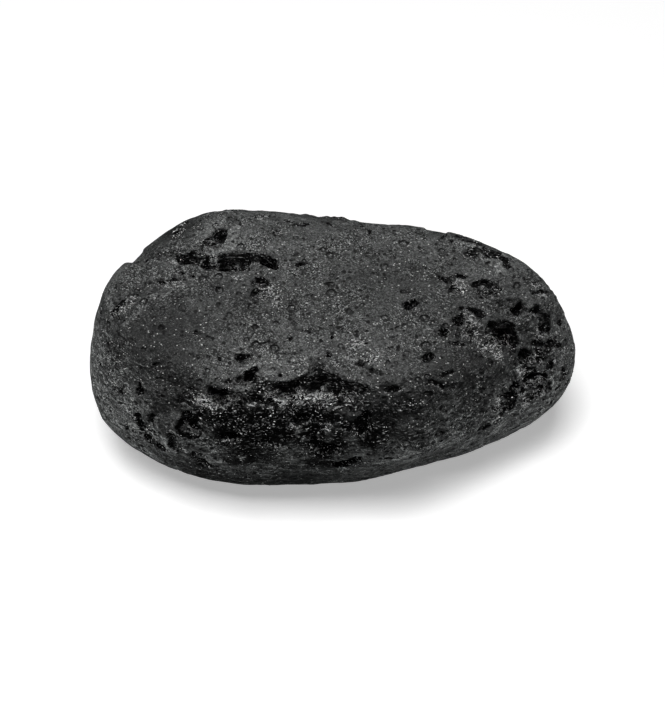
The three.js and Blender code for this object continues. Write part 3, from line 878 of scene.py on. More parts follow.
def mesh_of(name, points, faces, **attributes):
    """A mesh with smooth faces, and a number at each point for each attribute."""
    mesh = bpy.data.meshes.new(name)
    mesh.from_pydata(points, [], faces)
    for attribute, values in attributes.items():
        layer = mesh.attributes.new(attribute, "FLOAT", "POINT")
        layer.data.foreach_set("value", values.astype(np.float32))
    mesh.shade_smooth()
    return mesh


marks = {PIT_PLACES: pitted, "fresh": fresh_and_shade_here, "lit": lit, "painted_tone": np.exp(painted_tone)}
stone = bpy.data.objects.new("tektite_skin", mesh_of("tektite_skin", skin, squares, **marks))
bpy.context.scene.collection.objects.link(stone)
print("each point carries", sorted(marks))

# %% [markdown]
# ## Small pits
# Hundreds of smaller bubbles have left their cups too, thickest on the steep sides. Each could be
# listed by hand, but they repeat, so a node tree makes them: it scatters middles over the skin no
# closer than a spacing, gives each a width and a stretch, and sinks the skin around each middle.

# %% Helpers that build nodes
def wire(tree, node_type, *links, **settings):
    """Adds a node, sets its properties, and links or sets its inputs, in order."""
    node = tree.nodes.new(node_type)
    for name, value in settings.items():
        setattr(node, name, value)
    sockets = [socket for socket in node.inputs if socket.enabled]
    for socket, source in zip(sockets, links):
        if isinstance(source, bpy.types.NodeSocket):
            tree.links.new(source, socket)
        elif source is not None:
            socket.default_value = source
    return node


def out(node, name=None):
    """A node's output by name, or its first one in use."""
    sockets = [socket for socket in node.outputs if socket.enabled]
    return next(s for s in sockets if s.name == name) if name else sockets[0]


def reckon(tree, operation, *values):
    """Arithmetic on numbers."""
    return out(wire(tree, "ShaderNodeMath", *values, operation=operation))


def shift(tree, operation, *values):
    """Arithmetic on vectors."""
    return out(wire(tree, "ShaderNodeVectorMath", *values, operation=operation))


def dot(tree, *vectors):
    """How far one vector reaches along another."""
    return out(wire(tree, "ShaderNodeVectorMath", *vectors, operation="DOT_PRODUCT"), "Value")


# %% The tree that sinks small pits, and its inputs
TREE_INPUTS = [
    # name, kind, starting value
    ("Spacing", "NodeSocketFloat", 2.0),
    ("Most per mm2", "NodeSocketFloat", 1.0),
    ("Smallest across", "NodeSocketFloat", 0.5),
    ("Largest across", "NodeSocketFloat", 1.0),
    ("Depth share", "NodeSocketFloat", 0.3),
    ("Longest stretch", "NodeSocketFloat", 1.6),
    ("Rim share", "NodeSocketFloat", 0.04),
    ("Unevenness", "NodeSocketFloat", 0.8),
    ("Seed", "NodeSocketInt", 1),
    ("Glass", "NodeSocketMaterial", None),
]

pit_tree = bpy.data.node_groups.new("burst bubble pits", "GeometryNodeTree")
pit_tree.interface.new_socket("Geometry", in_out="INPUT", socket_type="NodeSocketGeometry")
pit_tree.interface.new_socket("Geometry", in_out="OUTPUT", socket_type="NodeSocketGeometry")
for name, kind, value in TREE_INPUTS:
    socket = pit_tree.interface.new_socket(name, in_out="INPUT", socket_type=kind)
    if value is not None:
        socket.default_value = value
given = pit_tree.nodes.new("NodeGroupInput").outputs
print("the tree works on a mesh in mm, and has", len(TREE_INPUTS), "inputs for its sizes")


# %% The small pits' middles, and what each pit is like
def named(name, kind):
    return out(wire(pit_tree, "GeometryNodeInputNamedAttribute", name, data_type=kind))


def between(least, most, seed):
    node = "FunctionNodeRandomValue"
    return out(wire(pit_tree, node, least, most, None, seed, data_type="FLOAT"))


def store(geometry, kind, name, value):
    node = "GeometryNodeStoreNamedAttribute"
    return out(wire(pit_tree, node, geometry, None, name, value, data_type=kind, domain="POINT"))


scatter = wire(
    pit_tree, "GeometryNodeDistributePointsOnFaces", given["Geometry"], None, given["Spacing"],
    given["Most per mm2"], named(PIT_PLACES, "FLOAT"), given["Seed"],
    distribute_method="POISSON",
)
bias = reckon(pit_tree, "POWER", between(0.0, 1.0, given["Seed"]), 2.0)
spread = reckon(pit_tree, "SUBTRACT", given["Largest across"], given["Smallest across"])
across = reckon(pit_tree, "MULTIPLY_ADD", bias, spread, given["Smallest across"])
other_seed = reckon(pit_tree, "ADD", given["Seed"], 100)
middles = store(out(scatter), "FLOAT_VECTOR", "facing", out(scatter, "Normal"))
middles = store(middles, "FLOAT", "across", across)
middles = store(middles, "FLOAT", "stretch", between(1.0, given["Longest stretch"], other_seed))
print("nodes so far:", len(pit_tree.nodes))

# %% What the nearest small pit is like, at each point of the skin
nearest = out(wire(pit_tree, "GeometryNodeSampleNearest", middles, domain="POINT"))


def of_nearest(value, kind):
    node = "GeometryNodeSampleIndex"
    return out(wire(pit_tree, node, middles, value, nearest, data_type=kind, domain="POINT"))


place = out(wire(pit_tree, "GeometryNodeInputPosition"))
middle = of_nearest(place, "FLOAT_VECTOR")
facing = of_nearest(named("facing", "FLOAT_VECTOR"), "FLOAT_VECTOR")
wide = of_nearest(named("across", "FLOAT"), "FLOAT")
long = reckon(pit_tree, "MULTIPLY", wide, of_nearest(named("stretch", "FLOAT"), "FLOAT"))
print("nodes so far:", len(pit_tree.nodes))

# %% How far out of its pit's middle a point lies: 1 is at the rim, which noise makes uneven
PIT_WAVES = (1.3, 2.0)  # the scale and detail of that noise
HALF_GREY = (0.5, 0.5, 0.5)  # the mean of a noise's colour, taken off it to lean either way

noise = out(wire(pit_tree, "ShaderNodeTexNoise", place, *PIT_WAVES), "Color")
bend = shift(pit_tree, "SCALE", shift(pit_tree, "SUBTRACT", noise, HALF_GREY), given["Unevenness"])
offset = shift(pit_tree, "ADD", shift(pit_tree, "SUBTRACT", place, middle), bend)
along = shift(pit_tree, "NORMALIZE", shift(pit_tree, "CROSS_PRODUCT", (0, 0, 1), facing))
aside = shift(pit_tree, "CROSS_PRODUCT", facing, along)
half_long, half_wide = (reckon(pit_tree, "MULTIPLY", size, 0.5) for size in (long, wide))
far_along = reckon(pit_tree, "DIVIDE", dot(pit_tree, offset, along), half_long)
far_aside = reckon(pit_tree, "DIVIDE", dot(pit_tree, offset, aside), half_wide)
squared = [reckon(pit_tree, "POWER", far, 2.0) for far in (far_along, far_aside)]
squared = reckon(pit_tree, "ADD", *squared)
off_skin = reckon(pit_tree, "ABSOLUTE", dot(pit_tree, offset, facing))
near = reckon(pit_tree, "LESS_THAN", off_skin, long)
print("nodes so far:", len(pit_tree.nodes))

# %% A small pit's cup and rim
flattened = reckon(pit_tree, "POWER", squared, FLOOR_POWER / 2)
inside = reckon(pit_tree, "MAXIMUM", reckon(pit_tree, "SUBTRACT", 1.0, flattened), 0.0)
cup = reckon(pit_tree, "POWER", inside, WALL_POWER)
cup = reckon(pit_tree, "MULTIPLY", cup, given["Depth share"])
from_rim = reckon(pit_tree, "SUBTRACT", reckon(pit_tree, "SQRT", squared), 1.0)
from_rim = reckon(pit_tree, "DIVIDE", from_rim, RIM_SPREAD)
rim = reckon(pit_tree, "MULTIPLY", reckon(pit_tree, "POWER", from_rim, 2.0), -1.0)
rim = reckon(pit_tree, "MULTIPLY", reckon(pit_tree, "EXPONENT", rim), given["Rim share"])
raised = reckon(pit_tree, "MULTIPLY", reckon(pit_tree, "SUBTRACT", rim, cup), wide)
raised = reckon(pit_tree, "MULTIPLY", raised, near)
print("nodes so far:", len(pit_tree.nodes))

# %% Sink the skin, and end the tree
FLOOR_CLEARANCE = 0.3  # nothing is sunk lower than this above the floor

level = out(wire(pit_tree, "ShaderNodeSeparateXYZ", place), "Z")
above_floor = reckon(pit_tree, "GREATER_THAN", level, FLOOR_CLEARANCE)
moved = shift(pit_tree, "SCALE", facing, reckon(pit_tree, "MULTIPLY", raised, above_floor))
pitted_skin = out(wire(pit_tree, "GeometryNodeSetPosition", given["Geometry"], None, None, moved))
whole = out(wire(pit_tree, "GeometryNodeRealizeInstances", pitted_skin))
glazed = out(wire(pit_tree, "GeometryNodeSetMaterial", whole, None, given["Glass"]))
pit_tree.links.new(glazed, pit_tree.nodes.new("NodeGroupOutput").inputs[0])
print("the tree has", len(pit_tree.nodes), "nodes")

# %% [markdown]
# ## The glass
# The glass lets no light through at this thickness, so it is a black surface with the gloss of
# glass. Damp soil has etched the polish off: most of the skin is a satin grey, made of tiny facets
# that each lean their own way, with pinholes, dark specks and a faint crazing in it, and on the
# steep sides it is drawn out in thin flow lines. Where the glass is fresh it is black and glossy,
# and its chipped edges glint. Shade under the pinholes' lips is painted black into the colour,
# their floors are painted paler as painted light, and the facets' glints are painted near white, as
# are the chips' glints in part. An image wrapped around the stone would stretch and show a seam, so
# noise in the stone's own coordinates makes all of it, at sizes in mm. Each effect is a node group
# with named inputs, and the glass places it as often as it needs, each time with other sizes.

# %% Helpers that build shader groups
def shader_group(name, inputs, outputs):
    """An empty shader group: the tree, its input sockets and its output node."""
    tree = bpy.data.node_groups.new(name, "ShaderNodeTree")
    for socket, value in inputs:
        made = tree.interface.new_socket(socket, in_out="INPUT", socket_type="NodeSocketFloat")
        made.default_value = value
    for socket in outputs:
        tree.interface.new_socket(socket, in_out="OUTPUT", socket_type="NodeSocketFloat")
    return tree, tree.nodes.new("NodeGroupInput").outputs, tree.nodes.new("NodeGroupOutput")


def object_place(tree, *scale):
    """Where on the piece we are, in millimetres, squeezed by the scale."""
    place = out(wire(tree, "ShaderNodeTexCoord"), "Object")
    return shift(tree, "MULTIPLY", place, [value / MM for value in scale or (1, 1, 1)])


print("the groups work in millimetres:", 1 / MM, "to the metre")

# %% Grain
def grain_group():
    """Noise from 0 to 1 with lumps of a size in mm."""
    inputs = [("Size", 0.4), ("Detail", 3.0), ("Roughness", 0.55)]
    tree, given, result = shader_group("etched grain", inputs, ["Height"])
    scale = reckon(tree, "DIVIDE", 1.0, given["Size"])
    shape = given["Detail"], given["Roughness"]
    noise = wire(tree, "ShaderNodeTexNoise", object_place(tree), scale, *shape)
    tree.links.new(out(noise), result.inputs["Height"])
    return tree


grain = grain_group()
print(grain.name, "has", len(grain.nodes), "nodes")

# %% Pinholes
PINHOLE_BEND = 0.25  # mm: how far their outlines are out of round
PINHOLE_WAVES = (2.5, 1.0)  # the scale and detail of the noise that bends them
PINHOLE_FLAT = 1.5  # how much wider than tall they are
SHADE_UNDER_LIP = (-0.3, 0.3, 0.4, 1.0)  # the wall's painted shade is 0.4 as dark on the lower side as under the lip
STEEP_WALL = (0.45, 0.7, 0.0, 1.0)  # how far out of the middle, as a share, the wall begins
OUTER_EDGE = (0.95, 1.02, 1.0, 0.0)  # and ends
FLAT_FLOOR = (0.5, 0.8, 1.0, 0.0)  # where the floor gives way to the wall


def pinhole_group():
    """Tiny cups: their depth, their wall with painted shade, darkest under its lip, their floor,
    and the whole.
    """
    inputs = [("Spacing", 0.8), ("Smallest", 0.05), ("Largest", 0.3)]
    tree, given, result = shader_group("pinholes", inputs, ["Height", "Wall", "Floor", "Whole"])
    scale = reckon(tree, "DIVIDE", 1.0, given["Spacing"])
    bend = out(wire(tree, "ShaderNodeTexNoise", object_place(tree), *PINHOLE_WAVES), "Color")
    bend = shift(tree, "SUBTRACT", bend, HALF_GREY)
    bend = shift(tree, "SCALE", bend, PINHOLE_BEND)
    place = shift(tree, "ADD", object_place(tree, 1, 1, PINHOLE_FLAT), bend)
    cells = wire(tree, "ShaderNodeTexVoronoi", place, scale)
    colour = wire(tree, "ShaderNodeSeparateColor", out(cells, "Color"))
    chance = reckon(tree, "POWER", out(colour, "Red"), 2.0)
    spread = reckon(tree, "SUBTRACT", given["Largest"], given["Smallest"])
    reach = reckon(tree, "MULTIPLY_ADD", chance, spread, given["Smallest"])
    share = reckon(tree, "DIVIDE", out(cells, "Distance"), reach)
    inside = reckon(tree, "SUBTRACT", 1.0, reckon(tree, "MULTIPLY", share, share))
    hole = reckon(tree, "SQRT", reckon(tree, "MAXIMUM", inside, 0.0))
    depth = reckon(tree, "MULTIPLY", hole, reach)
    tree.links.new(reckon(tree, "MULTIPLY", depth, -1.0), result.inputs["Height"])
    offset = shift(tree, "SUBTRACT", place, out(cells, "Position"))
    to_lip = dot(tree, offset, LIP_SIDE)
    reach = reckon(tree, "MULTIPLY", reach, given["Spacing"])
    to_lip = reckon(tree, "DIVIDE", to_lip, reach)
    shade_under_lip = out(wire(tree, "ShaderNodeMapRange", to_lip, *SHADE_UNDER_LIP))
    steep = out(wire(tree, "ShaderNodeMapRange", share, *STEEP_WALL))
    whole = out(wire(tree, "ShaderNodeMapRange", share, *OUTER_EDGE))
    # The wall's darkness is painted shade, strongest under the lip.
    wall = reckon(tree, "MULTIPLY", reckon(tree, "MULTIPLY", steep, whole), shade_under_lip)
    tree.links.new(wall, result.inputs["Wall"])
    floor = out(wire(tree, "ShaderNodeMapRange", share, *FLAT_FLOOR))
    tree.links.new(floor, result.inputs["Floor"])
    tree.links.new(whole, result.inputs["Whole"])
    return tree


pinholes = pinhole_group()
print(pinholes.name, "has", len(pinholes.nodes), "nodes")

# %% Flow lines
FLOW_BENDS = (0.25, 2.0)  # the scale and detail of the noise that bends them up and down
FLOW_DETAIL = 2.0


def flow_group():
    """Noise drawn out around the stone, from 0 to 1."""
    inputs = [("Size", 0.35), ("Stretch", 5.0), ("Bend", 3.5)]
    tree, given, result = shader_group("flow lines", inputs, ["Height"])
    squeeze = reckon(tree, "DIVIDE", 1.0, given["Stretch"])
    shape = out(wire(tree, "ShaderNodeCombineXYZ", squeeze, squeeze, 1.0))
    bend = out(wire(tree, "ShaderNodeTexNoise", object_place(tree), *FLOW_BENDS), "Color")
    bend = shift(tree, "SUBTRACT", bend, HALF_GREY)
    bend = shift(tree, "MULTIPLY", bend, (0, 0, 1))
    bend = shift(tree, "SCALE", bend, given["Bend"])
    place = shift(tree, "ADD", object_place(tree), bend)
    place = shift(tree, "MULTIPLY", place, shape)
    scale = reckon(tree, "DIVIDE", 1.0, given["Size"])
    lines = out(wire(tree, "ShaderNodeTexNoise", place, scale, FLOW_DETAIL))
    tree.links.new(lines, result.inputs["Height"])
    return tree


flow = flow_group()
print(flow.name, "has", len(flow.nodes), "nodes")

# %% Facets
FACET_SHAPE = (0.7, 1.0, 1.3)  # they lie level, longer than they are tall


def facet_group():
    """Tiny facets: each turns the normal its own way, has its own shade, and may be a painted
    glint.
    """
    inputs = [("Size", 0.3), ("Tilt", 0.3), ("Glints", 0.02)]
    tree, given, result = shader_group("etched facets", inputs, ["Shade", "Glint"])
    tree.interface.new_socket("Normal", in_out="INPUT", socket_type="NodeSocketVector")
    tree.interface.new_socket("Normal", in_out="OUTPUT", socket_type="NodeSocketVector")
    scale = reckon(tree, "DIVIDE", 1.0, given["Size"])
    cells = wire(tree, "ShaderNodeTexVoronoi", object_place(tree, *FACET_SHAPE), scale)
    colour = out(cells, "Color")
    double = reckon(tree, "MULTIPLY", given["Tilt"], 2.0)
    lean = shift(tree, "SUBTRACT", colour, HALF_GREY)
    lean = shift(tree, "SCALE", lean, double)
    turned = shift(tree, "ADD", given["Normal"], lean)
    turned = shift(tree, "NORMALIZE", turned)
    tree.links.new(turned, result.inputs["Normal"])
    channels = wire(tree, "ShaderNodeSeparateColor", colour)
    tree.links.new(out(channels, "Green"), result.inputs["Shade"])
    most = reckon(tree, "SUBTRACT", 1.0, given["Glints"])
    glint = reckon(tree, "GREATER_THAN", out(channels, "Blue"), most)
    tree.links.new(glint, result.inputs["Glint"])
    return tree


facets = facet_group()
print(facets.name, "has", len(facets.nodes), "nodes")

# %% The material, and helpers that build it
GLASS_IOR = 1.5

glass = bpy.data.materials.new("tektite_glass")
glass.use_nodes = True
look = glass.node_tree
shader = look.nodes["Principled BSDF"]
shader.inputs["IOR"].default_value = GLASS_IOR


def effect(group, **values):
    """Places a group in the glass, with a number or another node's output for each input named."""
    node = look.nodes.new("ShaderNodeGroup")
    node.node_tree = group
    for name, value in values.items():
        if isinstance(value, bpy.types.NodeSocket):
            look.links.new(value, node.inputs[name])
        else:
            node.inputs[name].default_value = value
    return node


def at_point(name):
    """The number that each point of the skin carries under this name."""
    return out(wire(look, "ShaderNodeAttribute", attribute_name=name), "Fac")


def ramp(value, *spans):
    """Carries a value from one span to another: from low and high, to low and high."""
    return out(wire(look, "ShaderNodeMapRange", value, *spans))


def product(first, *others):
    for other in others:
        first = reckon(look, "MULTIPLY", first, other)
    return first


def blend(share, first, second, kind="FLOAT"):
    return out(wire(look, "ShaderNodeMix", share, first, second, data_type=kind))


print("the glass starts from", shader.name)

# %% The effects, each in its sizes
HOLE_SPACING, WIDE_HOLE_SPACING = 1.1, 2.2
STEEP_SPAN = (0.85, 0.45, 0.15, 1.0)  # how upright the normal is, and how strong the flow lines

fine = effect(grain, Size=0.28, Detail=0.0)
coarse = effect(grain, Size=0.7, Detail=1.0)
holes = effect(pinholes, Spacing=HOLE_SPACING, Smallest=0.08, Largest=0.42)
wide_holes = effect(pinholes, Spacing=WIDE_HOLE_SPACING, Smallest=0.05, Largest=0.34)
specks = effect(pinholes, Spacing=0.7, Smallest=0.08, Largest=0.40)
lines = out(effect(flow))
streaks = out(effect(flow, Size=0.5, Stretch=2.5))
facing = out(wire(look, "ShaderNodeNewGeometry"), "Normal")
upright = reckon(look, "ABSOLUTE", out(wire(look, "ShaderNodeSeparateXYZ", facing), "Z"))
steep = ramp(upright, *STEEP_SPAN)
print("nodes so far:", len(look.nodes))

# %% Where the glass is fresh, and where shade is painted black
ISLANDS = (0.62, 0.70, 1.0, 0.0)  # the noise at which an etched island ends in fresh glass
LIT_STREAKS = (0.42, 0.50, 0.0, 0.6)  # the noise at which a lit floor loses its black

fresh_and_shaded_glass, painted_glint_floor = at_point("fresh"), at_point("lit")
torn_and_shaded_glass = product(fresh_and_shaded_glass, ramp(streaks, *ISLANDS))
thinned = product(painted_glint_floor, ramp(streaks, *LIT_STREAKS))
torn_and_shaded_glass = product(torn_and_shaded_glass, reckon(look, "SUBTRACT", 1.0, thinned))
# The pinholes' walls join it as painted shade, darkest under their lips.
black = reckon(look, "MAXIMUM", torn_and_shaded_glass, out(holes, "Wall"))
black = reckon(look, "MAXIMUM", black, out(wide_holes, "Wall"))
black = reckon(look, "MAXIMUM", black, out(specks, "Whole"))
print("nodes so far:", len(look.nodes))

# %% Relief too fine for the mesh
GRAIN_HEIGHT = 0.03 * MM
COARSE_HEIGHT = 0.07 * MM
PINHOLE_DEPTH = 0.9 * MM  # for each mm from a pinhole's middle to its rim
FLOW_HEIGHT = 0.10 * MM

total = product(out(fine), GRAIN_HEIGHT)
total = reckon(look, "MULTIPLY_ADD", out(coarse), COARSE_HEIGHT, total)
for cups, spacing in ((holes, HOLE_SPACING), (wide_holes, WIDE_HOLE_SPACING)):
    total = reckon(look, "MULTIPLY_ADD", out(cups, "Height"), spacing * PINHOLE_DEPTH, total)
total = reckon(look, "MULTIPLY_ADD", product(lines, steep), FLOW_HEIGHT, total)
bump = look.nodes.new("ShaderNodeBump")
bump.inputs["Strength"].default_value = 1.0
bump.inputs["Distance"].default_value = 1.0
look.links.new(total, bump.inputs["Height"])
print("nodes so far:", len(look.nodes))

# %% Facets and painted glints
FACET_SIZE = 0.10
FACET_TILT = (0.0, 1.0, 0.15, 0.5)  # the tilt where the skin is etched, and where it is fresh
GLINT_SHARE = 0.009  # how many of the facets have a painted glint
GLINTS_WHERE_LIT = 0.17  # and how many more on lit floors

glinting = reckon(look, "MULTIPLY_ADD", painted_glint_floor, GLINTS_WHERE_LIT, GLINT_SHARE)
tilt = ramp(black, *FACET_TILT)
faceted = effect(facets, Size=FACET_SIZE, Tilt=tilt, Glints=glinting, Normal=out(bump))
print("one facet in", round(1 / GLINT_SHARE), "glints")

# %% Gloss
FRESH_ROUGHNESS = 0.14
ETCHED_ROUGHNESS = (0.40, 0.60)
NOISE_SPAN = (0.35, 0.65)  # nearly all of a noise lies between these

satin = out(effect(grain, Size=5.0, Detail=5.0, Roughness=0.65))
gloss = blend(torn_and_shaded_glass, ramp(satin, *NOISE_SPAN, *ETCHED_ROUGHNESS), FRESH_ROUGHNESS)
look.links.new(gloss, shader.inputs["Roughness"])
print("roughness:", FRESH_ROUGHNESS, "where fresh, and", ETCHED_ROUGHNESS, "where etched")

# %% How pale the facets are
SHADE_POWER = 4.5  # higher leaves fewer facets pale
CRAZING = (0.0, 0.12, 0.1, 1.0)  # dark where the noise is near its middle: thin curving lines
EVEN_SHADE = 0.325  # how pale the skin is where its facets hardly differ
SPECKLED = (0.4, 0.6, 0.35, 0.95)  # how much they differ, from part to part
CLUSTERS = (0.8, 1.2)  # how pale they are, from where they lie sparsest to where thickest
DRAWN_OUT = (0.4, 1.6)  # how the flow lines shade the steep sides
SCRATCHES = (0.0, 0.06, 0.2, 1.0)  # and the dark lines along their middles
PINHOLE_FLOOR_LIGHT = 0.4  # how much paler the floors of pinholes are painted, as painted light


def lines_of(noise, *spans):
    """Dark lines along the noise's middle value."""
    off = reckon(look, "ABSOLUTE", reckon(look, "SUBTRACT", noise, 0.5))
    return ramp(off, *spans)


shade = reckon(look, "POWER", out(faceted, "Shade"), SHADE_POWER)
even = product(lines_of(out(effect(flow, Size=0.34, Stretch=1.6, Bend=1.5)), *CRAZING), EVEN_SHADE)
speckled = ramp(out(effect(grain, Size=3.5, Detail=2.0)), *SPECKLED)
thickly = ramp(out(effect(grain, Size=1.5, Detail=4.0, Roughness=0.6)), *NOISE_SPAN, *CLUSTERS)
drawn_out = blend(steep, 1.0, ramp(lines, *NOISE_SPAN, *DRAWN_OUT))
scratched = blend(steep, 1.0, lines_of(lines, *SCRATCHES))
floors = reckon(look, "MAXIMUM", out(holes, "Floor"), out(wide_holes, "Floor"))
lit_pinhole_floors = reckon(look, "MULTIPLY_ADD", floors, PINHOLE_FLOOR_LIGHT, 1.0)
shade = blend(speckled, even, shade)
# painted_tone paints broad light and shade over the skin, paler in some parts and darker in others.
shade = product(shade, thickly, drawn_out, lit_pinhole_floors, at_point("painted_tone"), scratched)
print("nodes so far:", len(look.nodes))

# %% The colours
FRESH_COLOUR = (0.0015, 0.0015, 0.0015, 1)
DARKEST_GRAIN = (0.002, 0.0024, 0.0024, 1)
PALEST_GRAIN = (0.63, 0.65, 0.64, 1)
PAINTED_GLINT_COLOUR = (0.85, 0.86, 0.85, 1)
CHIP_PAINTED_GLINT_COLOUR = (0.85, 0.86, 0.86, 1)

colour = blend(shade, DARKEST_GRAIN, PALEST_GRAIN, "RGBA")
colour = blend(black, colour, FRESH_COLOUR, "RGBA")
# The glints are painted near white into the colour: painted highlights.
colour = blend(out(faceted, "Glint"), colour, PAINTED_GLINT_COLOUR, "RGBA")
print("from", FRESH_COLOUR[:3], "where fresh, to", PALEST_GRAIN[:3], "on the palest facets")

# %% Chipped edges: part a real mirror of the lamps, part a painted highlight
CHIPS = (0.655, 0.55)  # the noise at which a chip begins, in torn glass and in lit floors
CHIP_EDGE = 0.03  # over how much of the noise it does
CHIP_CLUSTERS = (0.3, 1.0)  # how strong chips are, from where they lie sparsest to where thickest
CHIP_MIRROR = 0.7  # how much like a mirror it is
CHIP_LEAN = 0.7  # how far it leans up, to the light from above

chips = out(effect(flow, Size=0.13, Stretch=6.0, Bend=1.0))
least = reckon(look, "MULTIPLY_ADD", painted_glint_floor, CHIPS[1] - CHIPS[0], CHIPS[0])
chip = ramp(chips, least, reckon(look, "ADD", least, CHIP_EDGE), 0.0, 1.0)
chip = product(chip, reckon(look, "MAXIMUM", fresh_and_shaded_glass, painted_glint_floor))
chip = product(chip, ramp(out(coarse), *NOISE_SPAN, *CHIP_CLUSTERS))
leaning = out(wire(look, "ShaderNodeCombineXYZ", 0.0, 0.0, product(chip, CHIP_LEAN)))
leaning = shift(look, "ADD", out(faceted, "Normal"), leaning)
look.links.new(shift(look, "NORMALIZE", leaning), shader.inputs["Normal"])
look.links.new(product(chip, CHIP_MIRROR), shader.inputs["Metallic"])
# A chip's near-white colour is a painted highlight; its metal mirrors the lamps for real.
look.links.new(blend(chip, colour, CHIP_PAINTED_GLINT_COLOUR, "RGBA"), shader.inputs["Base Color"])
print("the glass has", len(look.nodes), "nodes")

# %% [markdown]
# ## Sinking the small pits
# The tree is used twice, for pits of about a millimetre and for finer ones between them. The mesh
# is then thinned: triangles are kept where the relief needs them and merged where it is gentle.
# The walls of the pits are steep. They are found by how far the skin there has turned from the bare
# lump, and marked as fresh glass: glossy, and black in colour, which is painted shade in the pits.

# %% Sink the small pits
PIT_LAYERS = [
    {"Spacing": 2.2, "Most per mm2": 0.08, "Smallest across": 0.6, "Largest across": 1.6,
     "Depth share": 0.26, "Longest stretch": 2.2, "Seed": 7, "Unevenness": 1.2},
    {"Spacing": 1.0, "Most per mm2": 0.35, "Smallest across": 0.35, "Largest across": 0.8,
     "Depth share": 0.3, "Longest stretch": 2.6, "Seed": 11, "Unevenness": 0.8},
]
SUNK = 0.01  # mm: less than this doesn't count as a pit


def finished(piece):
    """The piece's mesh with its modifiers applied, in their place."""
    depsgraph = bpy.context.evaluated_depsgraph_get()
    mesh = bpy.data.meshes.new_from_object(piece.evaluated_get(depsgraph))
    piece.modifiers.clear()
    piece.data = mesh
    return mesh


def sink_pits(piece, values):
    modifier = piece.modifiers.new("small pits", "NODES")
    modifier.node_group = pit_tree
    for item in pit_tree.interface.items_tree:
        if item.item_type == "SOCKET" and item.in_out == "INPUT" and item.name in values:
            modifier[item.identifier] = values[item.name]
    return finished(piece)


def points_of(mesh):
    points = np.empty(3 * len(mesh.vertices), np.float32)
    mesh.vertices.foreach_get("co", points)
    return points.reshape(-1, 3)


for layer in PIT_LAYERS:
    before = points_of(stone.data)
    mesh = sink_pits(stone, {**layer, "Glass": glass})
    sunk = np.linalg.norm(points_of(mesh) - before, axis=1)
    covered = (sunk > SUNK).mean()
    print("pits cover", np.round(covered, 3), "of the skin, down to", np.round(sunk.max(), 2))

# %% Thin the mesh
MOST_TRIANGLES = 196_000

thin = stone.modifiers.new("thin", "DECIMATE")
thin.ratio = MOST_TRIANGLES / (2 * len(squares))
mesh = finished(stone)
mesh.name = "tektite_skin"
print(sum(len(face.vertices) - 2 for face in mesh.polygons), "triangles after thinning")

# %% Find the pits' walls, which are painted black as shade
WALL_SLOPES = (0.10, 0.40)  # how far the skin has turned from the bare lump, as 1 less the cosine


def normals_of(mesh):
    facing = np.empty(3 * len(mesh.vertices), np.float32)
    mesh.vertex_normals.foreach_get("vector", facing)
    return facing.reshape(-1, 3)


unfitted = (points_of(mesh) - solid_low) / (solid_high - solid_low) * (high - low) + low
_, level_normals = bare_skin(unit(unfitted))
turned = 1 - (normals_of(mesh) * level_normals).sum(axis=1)
shaded_walls = smooth(turned, *WALL_SLOPES)
fresh_layer = mesh.attributes["fresh"].data
fresh = np.empty(len(shaded_walls), np.float32)
fresh_layer.foreach_get("value", fresh)
# Marking the walls as fresh paints them black: painted shade in the pits.
fresh_layer.foreach_set("value", np.maximum(fresh, shaded_walls).astype(np.float32))
print("steep walls:", np.round(shaded_walls.mean(), 3), "of the skin")

# %% From millimetres to metres
mesh.transform(Matrix.Scale(MM, 4))
mesh.shade_smooth()
mesh.update()
print("the skin in metres:", np.round(points_of(mesh).max(axis=0) - points_of(mesh).min(axis=0), 4))

# %% Put the skin in the solid's place
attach(stone, "root")
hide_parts("tektite")
print("material:", [material.name for material in mesh.materials])

# %% [markdown]
# ## Floor and light
# A black, glossy stone shows its shape by what it mirrors, and its etched skin by what it
# scatters. So there are softboxes, seen only in its gloss, and washes, which give the skin its
# grey: strongest from behind, so that the crown is grey, the front is black and the chips glint.
# The floor is plain white paper. A lamp of its own lights it, because the shadow that suits the
# stone isn't the one that its many lamps would cast.

# %% Floor
FLOOR_HALF = 2.0  # metres
floor_mesh = bpy.data.meshes.new("floor")
floor_corners = [(-1, -1), (1, -1), (1, 1), (-1, 1)]
floor_points = [(x * FLOOR_HALF, y * FLOOR_HALF, 0) for x, y in floor_corners]
floor_mesh.from_pydata(floor_points, [], [(0, 1, 2, 3)])
floor = bpy.data.objects.new("floor", floor_mesh)
bpy.context.scene.collection.objects.link(floor)
print("the floor is", 2 * FLOOR_HALF, "m square")

# %% The floor's paper
PAPER_COLOUR = (0.9, 0.9, 0.9, 1)
PAPER_ROUGHNESS = 0.8
PAPER_GLOW = 0.39  # keeps the shadow on the paper pale
PAPER_ON_STONE = (0.39, 0.40, 0.40, 1)  # how the paper lights the stone
PAPER_IN_GLASS = (0.035, 0.035, 0.035, 1)  # how the paper is mirrored in it

paper = bpy.data.materials.new("floor_paper")
paper.use_nodes = True
sheet = paper.node_tree
white = sheet.nodes["Principled BSDF"]
white.inputs["Base Color"].default_value = PAPER_COLOUR
white.inputs["Roughness"].default_value = PAPER_ROUGHNESS
white.inputs["Specular IOR Level"].default_value = 0
white.inputs["Emission Color"].default_value = (1, 1, 1, 1)
white.inputs["Emission Strength"].default_value = PAPER_GLOW
rays = wire(sheet, "ShaderNodeLightPath")
tones = out(rays, "Is Glossy Ray"), PAPER_ON_STONE, PAPER_IN_GLASS
tone = wire(sheet, "ShaderNodeMix", *tones, data_type="RGBA")
unseen = out(wire(sheet, "ShaderNodeBsdfDiffuse", out(tone)))
both = out(wire(sheet, "ShaderNodeMixShader", out(rays, "Is Camera Ray"), unseen, out(white)))
sheet.links.new(both, sheet.nodes["Material Output"].inputs["Surface"])
floor_mesh.materials.append(paper)
print("the floor's material:", paper.name)

